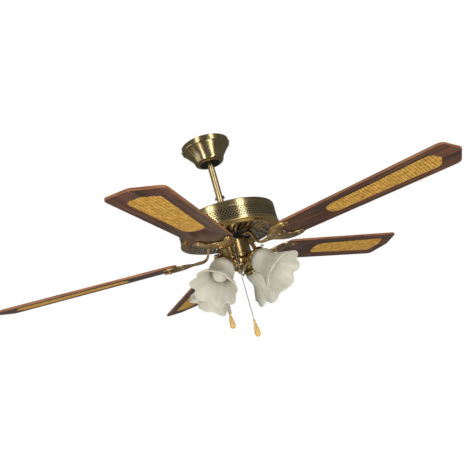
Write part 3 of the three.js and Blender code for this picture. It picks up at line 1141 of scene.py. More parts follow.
            arcs = {}
            for which, centre, sign in (("in", start + half_width, -1), ("out", end - half_width, 1)):
                arcs[which] = [
                    spot(centre + sign * half_width * math.cos(TAU / 4 * (1 - j / 3)),
                         half_width * math.sin(TAU / 4 * (1 - j / 3)), turn)
                    for j in range(7)
                ]
            low_in, high_in = edge(inner, -1), edge(inner, 1)
            low_out, high_out = edge(outer, -1), edge(outer, 1)
            low_a, high_a = edge(start + half_width, -1), edge(start + half_width, 1)
            low_b, high_b = edge(end - half_width, -1), edge(end - half_width, 1)
            flat.face(low_in, low_a, *reversed(arcs["in"]), high_a, high_in)
            flat.face(low_out, high_out, high_b, *arcs["out"], low_b)
            flat.face(low_a, low_b, arcs["out"][-1], arcs["in"][-1])
            flat.face(high_b, high_a, arcs["in"][0], arcs["out"][0])
        flat = welded(flat)

        def place(p: Vector, depth: float) -> Vector:
            """Puts a point of the flat sheet into space.

            Args:
                p: the point on the flat sheet.
                depth: how deep under the outer face it lies.

            Returns:
                The point in space.
            """
            radius = p.xy.length
            rise = 3.0 * (radius - inner) / (outer - inner)
            return Vector((p.x, p.y, self.vent_height + rise + depth))

        # The upper face and the slot walls take material number 1, painted black as the shade behind the slots.
        return thickened(flat, place, 1.5)

    def stator_form(self) -> Form:
        """Shapes the iron stack with its two rings of windings.

        Returns:
            The form, in millimetres.
        """
        base = BLADE_PLANE
        form = turned([(7.3, base + 66), (72, base + 66), (72, base + 86), (7.3, base + 86)], 72)
        for low, high in ((62.6, 65.8), (86.2, 92)):
            form.add(turned([(30, base + low), (58, base + low), (62, base + (low + high) / 2), (58, base + high),
                             (30, base + high)], 72), mark=1)
        return form

    def build(self) -> None:
        """Builds the drum and dresses the motor inside it."""
        f = self.finishes
        piece("drum_cover", self.cover_form(), f.brass, Body.FAN, Slot.BRASS, stands_for=["drum_top"])
        piece("drum_pierced_band", self.band_form(), [f.brass, f.black], Body.FAN, Slot.BRASS,
              stands_for=["drum_band"])
        piece("drum_ogee_ring", self.moulding_form(), f.gold_trim, Body.FAN, Slot.BRASS,
              stands_for=["drum_moulding"])
        piece("drum_vent_plate", self.vent_form(), [f.brass, f.black], Body.FAN, Slot.BRASS,
              stands_for=["vent_plate"])
        piece("stator_stack", self.stator_form(), [f.black, f.copper], Body.FAN, Slot.MOTOR_IRON,
              stands_for=["stator"])


@dataclass
class SwitchHousing:
    """The cup below the motor with its nozzles and the reversing switch."""

    finishes: Finishes
    radius: float = 44.5
    top: float = BLADE_PLANE + 30
    bottom: float = BLADE_PLANE - 17
    nozzle_height: float = BLADE_PLANE + 8

    def cup_form(self) -> Form:
        """Shapes the cup with a rolled rim and a fine groove.

        Returns:
            The form, in millimetres.
        """
        r = self.radius
        inner = [(7.3, self.top - 1.6), (r - 3, self.top - 1.6), (r - 1.6, self.top - 3), (r - 1.6, self.bottom)]
        rim = smooth([(r + 0.6, self.bottom), (r + 1.2, self.bottom + 0.9), (r + 1.2, self.bottom + 2.2),
                      (r + 0.4, self.bottom + 3.4), (r, self.bottom + 4.2)], 3)
        wall = [(r, self.top - 6.2), (r - 0.5, self.top - 5.9), (r - 0.5, self.top - 5.3), (r, self.top - 5.0)]
        crown = smooth([(r, self.top - 3.2), (r - 0.9, self.top - 0.9), (r - 3.2, self.top)], 4)
        return turned([*inner, *rim, *wall, *crown, (7.3, self.top)], 128)

    def nozzle_form(self) -> Form:
        """Shapes a threaded nozzle with a hexagon nut and a bell mouth, lying outwards.

        Returns:
            The form, in millimetres.
        """
        thread = []
        for k in range(17):
            thread += [(3.1, 2.6 + k * 0.45), (2.75, 2.6 + k * 0.45 + 0.22)]
        mouth = smooth([(2.9, 10.5), (3.9, 11.2), (4.1, 12.1), (3.4, 12.5)], 2)
        form = turned([(1.9, -3), (3.1, -3), (3.1, 2.6), *thread, *mouth, (2.4, 12.2), (1.9, 11.0)], 32)
        form.add(turned([(3.1, 0.3), (4.2, 0.3), (4.6, 0.7), (4.6, 2.1), (4.2, 2.5), (3.1, 2.5)], 6))
        return form

    def build(self) -> None:
        """Builds the housing and dresses what it holds."""
        f = self.finishes
        piece("switch_cup", self.cup_form(), f.brass, Body.FAN, Slot.BRASS, stands_for=["switch_housing"])
        for name, azimuth in (("fan", 270), ("light", 180)):
            piece(f"{name}_nozzle", self.nozzle_form(), f.gold_trim, Body.FAN, Slot.BRASS,
                  lying(azimuth, self.radius, self.nozzle_height))
            dress(f"{name}_switch", f.plastic)
        for node in ("capacitor", "reverse_switch", "reverse_slider"):
            dress(node, f.plastic)


@dataclass
class PullChain:
    """A bead chain on its fob.

    Args:
        finishes: the fan's materials.
        label: what it works.
        azimuth: its direction from the fan's axis.
        length: length of the chain.
        body: the body that it moves with.
    """

    finishes: Finishes
    label: str
    azimuth: float
    length: float
    body: Body
    reach: float = 59.0
    bead: float = 1.6
    pitch: float = 4.1
    top: float = BLADE_PLANE + 8 - 3.1 - 0.3
    fob_length: float = 46.0
    link: float = 0.55
    fob_gap: float = 0.3

    def chain_form(self) -> Form:
        """Shapes the beads and the links between them, hanging from z = 0.

        Returns:
            The form, in millimetres.
        """
        count = int(self.length / self.pitch)
        step = self.length / count
        profile: list[Point2] = [(0.0, 0.0)]
        for k in range(count):
            centre = -(k + 0.5) * step
            for j in range(7):
                angle = math.radians(72 - 24 * j)
                profile.append((self.bead * math.cos(angle), centre + self.bead * math.sin(angle)))
            if k < count - 1:
                profile.append((self.link, centre - step / 2))
        profile.append((0.0, -self.length))
        return turned(profile, 12)

    def fob_form(self) -> Form:
        """Shapes the turned drop, with its top on z = 0.

        Returns:
            The form, in millimetres.
        """
        body = smooth([(2.3, -3.2), (3.0, -9), (4.6, -17), (6.4, -26), (7.6, -34), (7.6, -38.5), (6.2, -42.6),
                       (3.4, -45.2)], 4)
        return turned([(0, -3.0), (1.6, -3.0), *body, (0, -self.fob_length)], 48)

    def build(self) -> None:
        f = self.finishes
        x = self.reach * math.cos(math.radians(self.azimuth))
        y = self.reach * math.sin(math.radians(self.azimuth))
        chain = piece(f"{self.label}_bead_chain", self.chain_form(), f.nickel, self.body, Slot.STEEL,
                      at(x, y, self.top), [f"{self.label}_chain"], crease=75)
        foot = at(x, y, self.top - self.length - self.fob_gap)
        drop = piece(f"{self.label}_drop", self.fob_form(), f.fob, self.body, Slot.FOB_WOOD, foot,
                     [f"{self.label}_fob"])
        bell = turned([(0.7, 0.2), (1.5, 0.0), *smooth([(2.1, -1.2), (2.5, -3.0), (3.1, -5.2)], 3), (2.5, -5.2),
                       (1.4, -2.6), (0.7, -2.6)], 32)
        ferrule = piece(f"{self.label}_ferrule", bell, f.gold_trim, self.body, Slot.BRASS, foot)
        line = [[x * MM, y * MM, (self.top - self.length * k / 20) * MM] for k in range(21)]
        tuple(line[0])


@dataclass
class LightKit:
    """The hub under the switch housing with its four lamps.

    Args:
        finishes: the fan's materials.
        count: number of lamps.
        phase: azimuth of the first lamp.
        tilt: how far each lamp's axis dips.
        radius: centre of the gallery ring from the fan's axis.
        height: height of that centre.
        ruffles: petals round a shade's mouth.
        twists: how each shade is turned in its gallery, in degrees.
        glass: thickness of a shade.
        around: how many faces go round a shade.
    """

    finishes: Finishes
    count: int = 4
    phase: float = 235.0
    tilt: float = 45.0
    radius: float = 61.0
    height: float = BLADE_PLANE - 33
    arm_height: float = BLADE_PLANE - 29
    top: float = BLADE_PLANE - 17.3
    ruffles: int = 7
    twists: tuple[float, ...] = (18.6, 7.1, 30.0, 12.0)
    glass: float = 2.8
    around: int = 192

    def place(self, index: int) -> Matrix:
        """Returns the place of a lamp: +Z runs along its axis and z = 0 is its gallery.

        Args:
            index: number of the lamp or blade, from 0.

        Returns:
            The place.
        """
        azimuth = self.phase + 360 / self.count * index
        tip = Matrix.Rotation(math.radians(90 + self.tilt), 4, "Y")
        return about_z(azimuth) @ at(self.radius, 0, self.height) @ tip

    def hub_form(self) -> Form:
        """Shapes the round body with a stepped flange and a turned foot.

        Returns:
            The form, in millimetres.
        """
        t = self.top
        flange = [(40, t), (42.0, t), (42.4, t - 0.4), (42.4, t - 2.0), (41.8, t - 2.6)]
        neck = smooth([(41.8, t - 2.6), (35, t - 3.2), (29.8, t - 4.6), (28, t - 7.2)], 4)
        waist = smooth([(28, t - 7.2), (28, t - 18.6), (26.6, t - 22.6), (22.6, t - 26.8), (17.4, t - 30.2)], 5)
        foot = [(13.8, t - 30.8), (13.8, t - 31.9), (10, t - 33.4), (4.3, t - 34)]
        inner = [(4.3, t - 31.8), (16.5, t - 28.6), (26, t - 20), (26, t - 8), (33, t - 5), (40, t - 4)]
        return turned([*flange, *neck[1:], *waist[1:], *foot, *inner], 112)

    def finial_form(self) -> Form:
        """Shapes the small turned cap under the hub.

        Returns:
            The form, in millimetres.
        """
        z = self.top - 34.3
        knob = smooth([(9, z - 0.8), (8.2, z - 2.6), (5.6, z - 3.8), (6.6, z - 5.4), (5.4, z - 7.6),
                       (2.6, z - 8.8)], 4)
        return turned([(0, z + 6), (4, z + 6), (4, z), (9, z), *knob, (0, z - 9)], 48)

    def holder_form(self) -> Form:
        """Shapes the bell cup, the gallery ring with its beaded lip and a turned collar.

        Returns:
            The form, in millimetres.
        """
        cup = smooth([(8, -17.6), (10.8, -15.8), (13.2, -12.2), (15.8, -7.4), (17.6, -3.8)], 4)
        step = [(18.4, -3.3), (19.2, -2.6), (19.2, -1.5), (20.6, -0.9)]
        pan = smooth([(20.6, -0.9), (25, -0.4), (28.8, 0.6), (30.5, 2.5), (30.8, 4.8)], 4)
        lip = smooth([(30.8, 4.8), (30.6, 8.8), (31.0, 10.6), (31.0, 11.6), (30.3, 12.0)], 3)
        inner = [(29.6, 11.4), (29.6, 4.8), (28, 2.4), (21, 1.5), (16.5, 1.0), (14, -8), (9, -13.5), (0, -15.5)]
        return turned([(0, -19), (5.4, -18.8), *cup, *step, *pan[1:], *lip[1:], *inner], 80)

    def arm_form(self) -> Form:
        """Returns the short arm between the hub and a holder, lying outwards."""
        swell = smooth([(6, 0), (6, 8), (7, 10), (5.8, 12), (6, 19)], 4)
        return turned([(0, 0), *swell, (0, 19)], 40)

    def thumbscrew_form(self) -> Form:
        """Shapes a knurled thumbscrew, with its tip on z = 0.

        Returns:
            The form, in millimetres.
        """
        form = turned([(0, 0), (1.3, 0), (1.5, 0.4), (1.5, 4.6), (2.2, 5.0), (2.2, 5.8), (0, 5.8)], 20)
        rings = []
        for z, pull in ((5.6, 0.5), (6.1, 0.0), (9.2, 0.0), (9.7, 0.5)):
            ring = []
            for k in range(40):
                r = 4.4 - pull - (0.35 if k % 2 else 0.0)
                ring.append(Vector((r * math.cos(TAU * k / 40), r * math.sin(TAU * k / 40), z)))
            rings.append(ring)
        return form.add(lofted(rings))

    def socket_form(self) -> Form:
        """Returns the socket: a porcelain sleeve with a rounded lip."""
        lip = smooth([(11.5, 15.6), (10.9, 17), (9.2, 17.2), (7.8, 16.4)], 3)
        return turned([(0, -14), (8, -12.2), (10.9, -9), (11.5, -7.4), *lip, (7.6, 15), (7.6, -8), (0, -8)], 48)

    def bulb_form(self) -> Form:
        """Shapes the round bulb; its screw cap has material number 1.

        Returns:
            The form, in millimetres.
        """
        cap: list[Point2] = [(0, -7.4), (3.4, -7.2), (6.6, -4.4)]
        for k in range(8):
            z = -3.4 + 2.6 * k
            cap += [(7.2, z), (6.7, z + 1.3)]
        form = turned([*cap, (7.0, 18), (0, 18)], 40)
        globe = smooth([(6.9, 18.1), (8.6, 21), (13.6, 25.6), (18.8, 32), (21.4, 40), (21.4, 47), (18.6, 55),
                        (12.6, 61.6), (6, 64.8)], 4)
        bulb = Form().add(turned([(0, 18.1), *globe, (0, 65.5)], 56), mark=0)
        return bulb.add(form, mark=1)

    def shade_form(self) -> Form:
        """Shapes the glass: neck, rounded shoulder, waist and a flared mouth pinched into petals.

        Returns:
            The form, in millimetres.
        """
        outer = smooth([(28.0, 5), (28.0, 11.5), (31.4, 16), (34.0, 22), (34.8, 29), (34.2, 37), (34.0, 45),
                        (35.8, 54), (40, 64), (46.0, 74.5), (52.6, 85), (58.4, 95), (61.6, 102)], 4)
        around, thick = self.around, self.glass
        rings: list[list[Vector]] = []

        def ring(radius: float, height: float, inset: float) -> list[Vector]:
            """Makes one ring of the glass.

            Args:
                radius: radius of the plain bell there.
                height: height on the lamp's axis.
                inset: how far inside the outer face it runs.

            Returns:
                The points of the ring.
            """
            swell = min(max((height - 24) / 78, 0.0), 1.0) ** 2.2
            points = []
            for k in range(around):
                angle = TAU * k / around
                bend = angle + 0.05 * math.sin(3 * angle + 1.1)
                petal = math.cos(self.ruffles * bend) - 0.16 * math.cos(2 * self.ruffles * bend)
                petal *= 1 + 0.3 * math.cos(3 * angle + 2.2)
                r = radius - inset + swell * 4.6 * petal
                z = height + swell * (2.6 * petal + 1.6 * math.sin(2 * angle + 0.7))
                points.append(Vector((r * math.cos(angle), r * math.sin(angle), z)))
            return points

        for radius, height in outer:
            rings.append(ring(radius, height, 0.0))
        tip_radius, tip_height = outer[-1]
        rings.append(ring(tip_radius + 0.1, tip_height + 1.0, 0.5))
        rings.append(ring(tip_radius, tip_height + 1.2, 1.5))
        for radius, height in reversed(outer):
            rings.append(ring(radius, height, thick))
        form = lofted(rings, capped=False)
        last = (len(rings) - 1) * around
        for k in range(around):
            j = (k + 1) % around
            form.face(last + k, last + j, j, k)
        return form

    def build(self) -> None:
        """Builds the hub and the lamps."""
        f = self.finishes
        piece("kit_hub", self.hub_form(), f.brass, Body.FAN, Slot.BRASS, stands_for=["light_hub"])
        piece("kit_finial", self.finial_form(), f.gold_trim, Body.FAN, Slot.BRASS, stands_for=["hub_finial"])
        for i in range(self.count):
            tag = i + 1
            place = self.place(i)
            azimuth = self.phase + 360 / self.count * i
            piece(f"lamp_cup_{tag}", self.holder_form(), f.brass, Body.FAN, Slot.BRASS, place,
                  [f"lamp_holder_{tag}"])
            piece(f"lamp_arm_{tag}", self.arm_form(), f.brass, Body.FAN, Slot.BRASS,
                  lying(azimuth, 25, self.arm_height))
            piece(f"lamp_sleeve_{tag}", self.socket_form(), f.porcelain, Body.FAN, Slot.PORCELAIN, place,
                  [f"lamp_socket_{tag}"])
            piece(f"globe_bulb_{tag}", self.bulb_form(), [f.bulb, f.steel], Body.FAN, Slot.BULB_GLASS, place,
                  [f"bulb_{tag}"])
            piece(f"tulip_shade_{tag}", self.shade_form(), f.glass, Body.FAN, Slot.FROSTED_GLASS,
                  place @ about_z(self.twists[i % len(self.twists)]),
                  [f"shade_{tag}"], crease=60)
            for k in range(3):
                turn = 60 + 120 * k
                piece(f"thumbscrew_{tag}_{k + 1}", self.thumbscrew_form(), f.gold_trim, Body.FAN, Slot.BRASS,
                      place @ lying(turn, 28.3, 8.0))


@dataclass
class BladeSet:
    """The turning half: flywheel, cast irons, walnut blades and cane panels.

    Args:
        finishes: the fan's materials.
        count: number of blades.
        phase: azimuth of the first blade.
        pitch: how far the leading side hangs lower, in degrees.
        thickness: thickness of a blade.
        root: radius where a blade starts.
        tip: radius of a blade's point.
        strand: pitch of the cane's weave.
        recess: depth of the recess for the cane.
        panel_middle: radius of the cane panel's middle.
        panel_reach: half the panel's length, with room to spare.
    """

    finishes: Finishes
    count: int = 5
    phase: float = 256.1
    pitch: float = 8.7
    thickness: float = 6.0
    root: float = 165.0
    tip: float = 660.0
    strand: float = 8.4
    recess: float = 2.2
    panel_middle: float = 457.0
    panel_reach: float = 165.0

    def azimuth(self, index: int) -> float:
        """Returns the azimuth of a blade."""
        return self.phase + 360 / self.count * index

    def place(self, index: int) -> Matrix:
        """Returns the place of a blade: X runs along it and z = 0 is its underside."""
        return about_z(self.azimuth(index)) @ at(0, 0, BLADE_PLANE) @ Matrix.Rotation(
            math.radians(-self.pitch), 4, "X")

    @staticmethod
    def mirrored(half: Sequence[Point2]) -> list[Point2]:
        """Closes half an outline about the blade's centre line, counter-clockwise."""
        return [(r, -s) for r, s in half] + [(r, s) for r, s in reversed(half)]

    def blade_outline(self) -> list[Point2]:
        """Draws the board's outline with its rounded corners and shallow pointed tip.

        Returns:
            The outline, in millimetres.
        """
        root = smooth([(self.root, 32), (self.root + 3.5, 42), (self.root + 14, 50.5), (self.root + 26, 53.6)], 4)
        corner = smooth([(self.tip - 46, 65.4), (self.tip - 36, 65.3), (self.tip - 27, 63.2),
                         (self.tip - 21.5, 58.6), (self.tip - 18, 51)], 4)
        point = smooth([(self.tip - 3.2, 10), (self.tip - 1.2, 5), (self.tip - 0.4, 1.6)], 3)
        return self.mirrored([*root, *corner, *point])

    def cane_outline(self, grow: float = 0.0) -> list[Point2]:
        """Returns the outline of the cane panel, grown all round.

        Args:
            grow: how far it is grown all round.

        Returns:
            The outline, in millimetres.
        """
        inner = smooth([(303 - grow, 5), (304.6 - grow, 13 + grow * 0.6), (310.5, 21.5 + grow),
                        (322, 27.4 + grow)], 4)
        outer = smooth([(578, 37.4 + grow), (590, 36.9 + grow), (598.4 + grow * 0.6, 32.4 + grow * 0.6),
                        (602.4 + grow, 25.5)], 4)
        point = smooth([(609.4 + grow, 9), (610.9 + grow, 4.5), (611.6 + grow, 1.2)], 3)
        return self.mirrored([*inner, *outer, *point])

    def blade_form(self) -> Form:
        """Shapes the board with a recess in its underside; its sides have material number 1.

        Returns:
            The form, in millimetres.
        """
        board = slab(self.blade_outline(), 0, self.thickness, 1.1, marks=True)
        under = len(board.faces) - 2
        rim = list(reversed(board.faces[under]))
        del board.faces[under]
        del board.marks[under]
        outer = [board.points[i] for i in rim]
        window = self.cane_outline(0.9)
        groove = self.cane_outline(0.3)
        levels = [(window, 0.0, 0), (groove, 0.7, 1), (groove, self.recess, 1)]
        rings = []
        for outline, height, _ in levels:
            first = len(board.points)
            board.points += [Vector((x, y, height)) for x, y in outline]
            rings.append(list(range(first, first + len(outline))))
        self.bridge(board, rim, outer, rings[0])
        count = len(window)
        for low, high in zip(rings, rings[1:]):
            for k in range(count):
                j = (k + 1) % count
                board.face(low[k], low[j], high[j], high[k], mark=1)
        board.face(*rings[-1], mark=0)
        return board

    @staticmethod
    def bridge(form: Form, rim: Sequence[int], outer: Sequence[Vector], window: Sequence[int]) -> None:
        """Fills the flat ring between an outline and a window inside it with triangles.

        Args:
            form: the form that holds both rings.
            rim: corner numbers of the outer ring.
            outer: its points.
            window: corner numbers of the inner ring.
        """
        inner = [form.points[i] for i in window]
        i = 0
        j = min(range(len(inner)), key=lambda k: (inner[k] - outer[0]).length)
        steps_i, steps_j = len(rim), len(window)
        while steps_i or steps_j:
            a, b = rim[i % len(rim)], window[j % len(window)]
            next_a, next_b = rim[(i + 1) % len(rim)], window[(j + 1) % len(window)]
            reach_a = (form.points[next_a] - form.points[b]).length
            reach_b = (form.points[a] - form.points[next_b]).length
            if steps_i and (not steps_j or reach_a <= reach_b):
                form.face(a, next_a, b)
                i += 1
                steps_i -= 1
            else:
                form.face(a, next_b, b)
                j += 1
                steps_j -= 1

    def strands(self, direction: float, offset: float, width: float, low: float, high: float) -> Form:
        """Lays strands of cane across the panel in one direction.

        Args:
            direction: their direction in degrees, from the blade's length.
            offset: how far the first lies from the panel's middle.
            width: width of a strand.
            low: height of their lower side.
            high: height of their upper side.

        Returns:
            The strands, cut to the panel's outline.
        """
        outline = [Vector(p) for p in self.cane_outline(-1.2)]
        along = Vector((math.cos(math.radians(direction)), math.sin(math.radians(direction))))
        across = Vector((-along.y, along.x))
        middle = Vector((self.panel_middle, 0))
        step = self.strand * (1 if direction in (0, 90) else math.sqrt(0.5))
        form = Form()
        most = math.ceil(self.panel_reach / step)
        for k in range(-most, most + 1):
            level = k * step + offset
            hits = []
            for a, b in zip(outline, outline[1:] + outline[:1]):
                da, db = (a - middle).dot(across) - level, (b - middle).dot(across) - level
                if (da < 0) != (db < 0):
                    hits.append((a + (b - a) * (da / (da - db)) - middle).dot(along))
            if len(hits) < 2 or max(hits) - min(hits) < 4:
                continue
            start, end = min(hits), max(hits)
            ring = [(-width / 2, low), (width / 2, low), (width / 2, (low + high) / 2), (width / 4, high),
                    (-width / 4, high), (-width / 2, (low + high) / 2)]
            rings = []
            for place in (start, end):
                centre = middle + along * place + across * level
                rings.append([Vector((*(centre + across * x), z)) for x, z in ring])
            form.add(lofted(rings))
        return form

    def cane_form(self) -> Form:
        """Shapes the woven panel: a backing with crossing pairs and diagonals of split cane under it.

        Returns:
            The form, in millimetres.
        """
        form = slab(self.cane_outline(0), 1.2, 1.95, 0.15)
        form.marks = [1] * len(form.faces)
        for shift in (-1.0, 1.0):
            form.add(self.strands(90, shift, 1.7, 1.25, 0.62), mark=0)
            form.add(self.strands(0, shift, 1.7, 0.98, 0.36), mark=0)
        half = self.strand * math.sqrt(0.5) / 2
        form.add(self.strands(45, half, 1.6, 0.72, 0.16), mark=0)
        form.add(self.strands(135, half, 1.6, 0.62, 0.08), mark=0)
        return form

    def fork_form(self) -> Form:
        """Shapes the open fork of a blade iron, under the blade's root.

        Returns:
            The form, in millimetres.
        """
        prong = smooth([(104, 9.2), (112, 10), (120, 15), (127, 25), (136, 38), (148, 48.5), (164, 54), (182, 54),
                        (196, 50.6), (203.6, 44.4), (204.8, 38)], 4)
        inside = smooth([(204.8, 38), (200.6, 32.4), (192, 28.8), (182, 25.8), (172.6, 20.2), (167.6, 12),
                         (166.4, 4.0)], 4)
        return slab(self.mirrored([*prong, *inside[1:]]), -4.9, -0.35, 1.5)

    def arm_form(self) -> Form:
        """Shapes the curved arm from its pad under the flywheel to the fork.

        Returns:
            The form, in millimetres.
        """
        line = smooth([(44, 0, 37.9), (55, 0, 37.6), (62, 0, 35.6), (68.2, 0, 29.6), (72, 0, 19.5), (76.2, 0, 8.6),
                       (83.4, 0, 0.8), (94, 0, -2.4), (106, 0, -2.6), (116, 0, -2.7)], 5)

        def section(t: float) -> list[Point2]:
            """Gives the section of the arm.

            Args:
                t: place from 0 to 1 along the arm.

            Returns:
                The outline, in millimetres.
            """
            waist = 19.5 - 5.0 * math.sin(math.pi * min(max((t - 0.15) / 0.75, 0), 1)) ** 2
            return rounded_section(waist, 6.4 - 1.2 * t, 2.0)

        return swept(line, section)

    def iron_form(self) -> Form:
        """Shapes the arm and its pad.

        Returns:
            The form, in millimetres.
        """
        form = self.arm_form()
        pad = slab([(40, -12), (58, -12), (60, -9), (60, 9), (58, 12), (40, 12), (38.6, 9), (38.6, -9)],
                   35.0, 40.6, 1.0)
        return form.add(pad)

    def flywheel_form(self) -> Form:
        """Shapes the black rotor with its rounded flywheel.

        Returns:
            The form, in millimetres.
        """
        z = BLADE_PLANE + 41
        rim = smooth([(56, z), (59, z + 0.6), (60, z + 2.4), (60, z + 4.4), (58.6, z + 6)], 3)
        return turned([(7.3, z), (20, z), (21, z + 1.2), (37, z + 1.2), (38, z), *rim, (52, z + 6), (52, z + 14),
                       (92, z + 14), (95, z + 17), (95, z + 55), (90, z + 55), (90, z + 19), (7.3, z + 19)], 96)

    def build(self) -> None:
        """Builds the flywheel, irons, blades and panels."""
        f = self.finishes
        piece("flywheel", self.flywheel_form(), f.black, Body.BLADES, Slot.BLACK_METAL, stands_for=["rotor"])
        for i in range(self.count):
            tag = i + 1
            place = self.place(i)
            level = about_z(self.azimuth(i)) @ at(0, 0, BLADE_PLANE)
            piece(f"iron_arm_{tag}", self.iron_form(), f.cast_brass, Body.BLADES, Slot.BRASS, level,
                  [f"blade_iron_{tag}"], crease=45)
            piece(f"iron_fork_{tag}", self.fork_form(), f.cast_brass, Body.BLADES, Slot.BRASS, place, crease=45)
            piece(f"walnut_blade_{tag}", self.blade_form(), [f.walnut, f.edge_band], Body.BLADES, Slot.WALNUT,
                  place, [f"blade_{tag}"], crease=50)
            piece(f"woven_cane_{tag}", self.cane_form(), [f.cane, f.cane_back], Body.BLADES, Slot.CANE, place,
                  [f"cane_panel_{tag}"], crease=50)
            heads = Form()
            for r, s in ((188, 40.5), (188, -40.5), (150, 0)):
                heads.add(screw(4.6, 2.6, shank=2), at(r, s, -4.8) @ Matrix.Rotation(math.pi, 4, "X"))
            piece(f"blade_screws_{tag}", heads, [f.gold_trim, f.recess], Body.BLADES, Slot.BRASS, place)
            bolts = Form()
            for s in (-6, 6):
                bolts.add(screw(3.6, 2.2, shank=2), at(49, s, 35.1) @ Matrix.Rotation(math.pi, 4, "X"))
            piece(f"pad_screws_{tag}", bolts, [f.steel, f.recess], Body.BLADES, Slot.STEEL, level)


# ------------------------------------------------------------------ studio


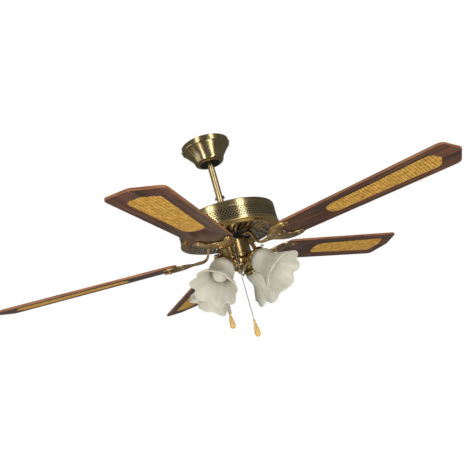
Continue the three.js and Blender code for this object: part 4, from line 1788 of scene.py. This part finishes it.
@dataclass
class Studio:
    """Camera, lights, floor and backdrop.

    Args:
        distance: camera in front of the fan's axis, in millimetres.
        drop: camera below the underside of the blades, in millimetres.
        heading: camera's turn to the right of straight ahead, in degrees.
        rise: how far it looks up, in degrees.
        roll: how far it leans, in degrees.
        lens: focal length for a sensor 36 mm wide.
        ambient: strength of the surroundings in reflections.
        soft_ambient: strength of the light that comes from all round.
        floor_level: height of the floor, in metres.
        floor_half: half its width, in metres.
        arc: radius of the arcs of strip lights, in metres.
        arc_length: radius that gives a strip's length, a little more, so that the strips overlap.
    """

    distance: float = 1764.4
    drop: float = 464.85
    heading: float = 0.426
    rise: float = 16.285
    roll: float = -15.91
    lens: float = 50.38
    ambient: float = 0.13
    soft_ambient: float = 0.42
    floor_level: float = -2.5
    floor_half: float = 6.0
    arc: float = 2.3
    arc_length: float = 2.35

    def camera(self) -> None:
        """Sets up the camera."""
        heading, rise, roll = (math.radians(v) for v in (self.heading, self.rise, self.roll))
        ahead = Vector((math.sin(heading) * math.cos(rise), math.cos(heading) * math.cos(rise), math.sin(rise)))
        level = Vector((math.cos(heading), -math.sin(heading), 0))
        above = level.cross(ahead)
        right = level * math.cos(roll) + above * math.sin(roll)
        up = above * math.cos(roll) - level * math.sin(roll)
        data = bpy.data.cameras.new("camera")
        data.lens = self.lens
        data.sensor_width = 36
        data.clip_end = 50
        made = bpy.data.objects.new("camera", data)
        turn = Matrix((right, up, -ahead)).transposed().to_4x4()
        made.matrix_world = Matrix.Translation(
            Vector((0, -self.distance, BLADE_PLANE - self.drop)) * MM) @ turn
        bpy.context.scene.collection.objects.link(made)
        bpy.context.scene.camera = made

    @staticmethod
    def strip(name: str, azimuth: float, reach: float, height: float, size: Point2, power: float,
              aim: float = MIDDLE) -> None:
        """Adds a soft light that faces the fan.

        Args:
            name: its name.
            azimuth: its direction from the fan in degrees, 270 being the camera's side.
            reach: its distance in metres.
            height: its height in metres.
            size: its width and height in metres.
            power: its power in watts.
            aim: height of the point it faces, in metres.
        """
        data = bpy.data.lights.new(name, "AREA")
        data.shape = "RECTANGLE"
        data.size, data.size_y = size
        data.energy = power
        made = bpy.data.objects.new(name, data)
        angle = math.radians(azimuth)
        spot = Vector((reach * math.cos(angle), reach * math.sin(angle), height))
        made.location = spot
        made.rotation_euler = (Vector((0, 0, aim)) - spot).to_track_quat("-Z", "Y").to_euler()
        bpy.context.scene.collection.objects.link(made)

    @staticmethod
    def board(name: str, corners: Sequence[Point3], look: bpy.types.Material) -> bpy.types.Object:
        """Adds one flat board of the set.

        Args:
            name: its name.
            corners: its corners, in metres.
            look: its material.

        Returns:
            The object.
        """
        mesh = bpy.data.meshes.new(name)
        mesh.from_pydata(corners, [], [tuple(range(len(corners)))])
        mesh.materials.append(look)
        made = bpy.data.objects.new(name, mesh)
        bpy.context.scene.collection.objects.link(made)
        return made

    def build(self) -> None:
        """Sets the stage."""
        scene = bpy.context.scene
        scene.view_settings.view_transform = "Standard"
        self.camera()
        world = bpy.data.worlds.new("studio")
        world.use_nodes = True
        tree = world.node_tree
        back = tree.nodes["Background"]
        back.inputs["Color"].default_value = (1.0, 1.0, 1.0, 1)
        path = tree.nodes.new("ShaderNodeLightPath")
        soft = tree.nodes.new("ShaderNodeMapRange")
        soft.inputs["To Min"].default_value = self.ambient
        soft.inputs["To Max"].default_value = self.soft_ambient
        tree.links.new(path.outputs["Is Diffuse Ray"], soft.inputs["Value"])
        level = tree.nodes.new("ShaderNodeMapRange")
        level.inputs["To Max"].default_value = 1.0
        tree.links.new(path.outputs["Is Camera Ray"], level.inputs["Value"])
        tree.links.new(soft.outputs["Result"], level.inputs["To Min"])
        tree.links.new(level.outputs["Result"], back.inputs["Strength"])
        scene.world = world
        paper = bpy.data.materials.new("pale_floor")
        paper.use_nodes = True
        shader = paper.node_tree.nodes["Principled BSDF"]
        for key, value in (("Base Color", (0.86, 0.85, 0.83, 1)), ("Roughness", 0.9),
                           ("Emission Color", (1.0, 0.99, 0.97, 1)), ("Emission Strength", 0.5)):
            shader.inputs[key].default_value = value
        half, level = self.floor_half, self.floor_level
        ground = self.board("floor", [(x * half, y * half, level) for x, y in ((-1, -1), (1, -1), (1, 1), (-1, 1))],
                            paper)
        ground.visible_glossy = False
        ground.visible_diffuse = False
        for side, azimuth, width, glow in (("left", FRONT - 27, 0.50, 3.7), ("right", FRONT + 41, 0.50, 3.7)):
            for step, tilt in enumerate((24, -12, -48)):
                angle = math.radians(tilt)
                length = self.arc_length * math.radians(36)
                self.strip(f"{side}_strip_{step + 1}", azimuth, self.arc * math.cos(angle),
                           MIDDLE + self.arc * math.sin(angle), (width, length), glow * math.pi * width * length)
        for name, azimuth, reach, height, (wide, high), glow in (
            ("left_panel", FRONT - 78, 2.4, -0.6, (1.7, 2.4), 0.7),
            ("overhead", FRONT - 8, 1.3, 1.5, (2.4, 0.5), 0.8),
            ("back_panel", 95, 2.3, 1.3, (1.8, 1.8), 1.5),
        ):
            self.strip(name, azimuth, reach, height, (wide, high), glow * math.pi * wide * high)
        for name, azimuth, height, power in (("front_fill", 268, -1.6, 22), ("right_fill", 340, -1.0, 9)):
            self.strip(name, azimuth, 2.0, height, (1.6, 1.6), power)
            bpy.data.objects[name].visible_glossy = False


def main() -> None:
    """Builds the fan from the ceiling down, then the studio."""
    logging.basicConfig(level=logging.INFO, format="%(message)s")
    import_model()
    finishes = Finishes()
    Studio().build()
    CeilingMount(finishes).build()
    Downrod(finishes).build()
    MotorDrum(finishes).build()
    SwitchHousing(finishes).build()
    PullChain(finishes, "fan", 270, 205, Body.FAN_PULL).build()
    PullChain(finishes, "light", 180, 159, Body.LIGHT_PULL).build()
    LightKit(finishes).build()
    BladeSet(finishes).build()


if __name__ == "__main__":
    main()
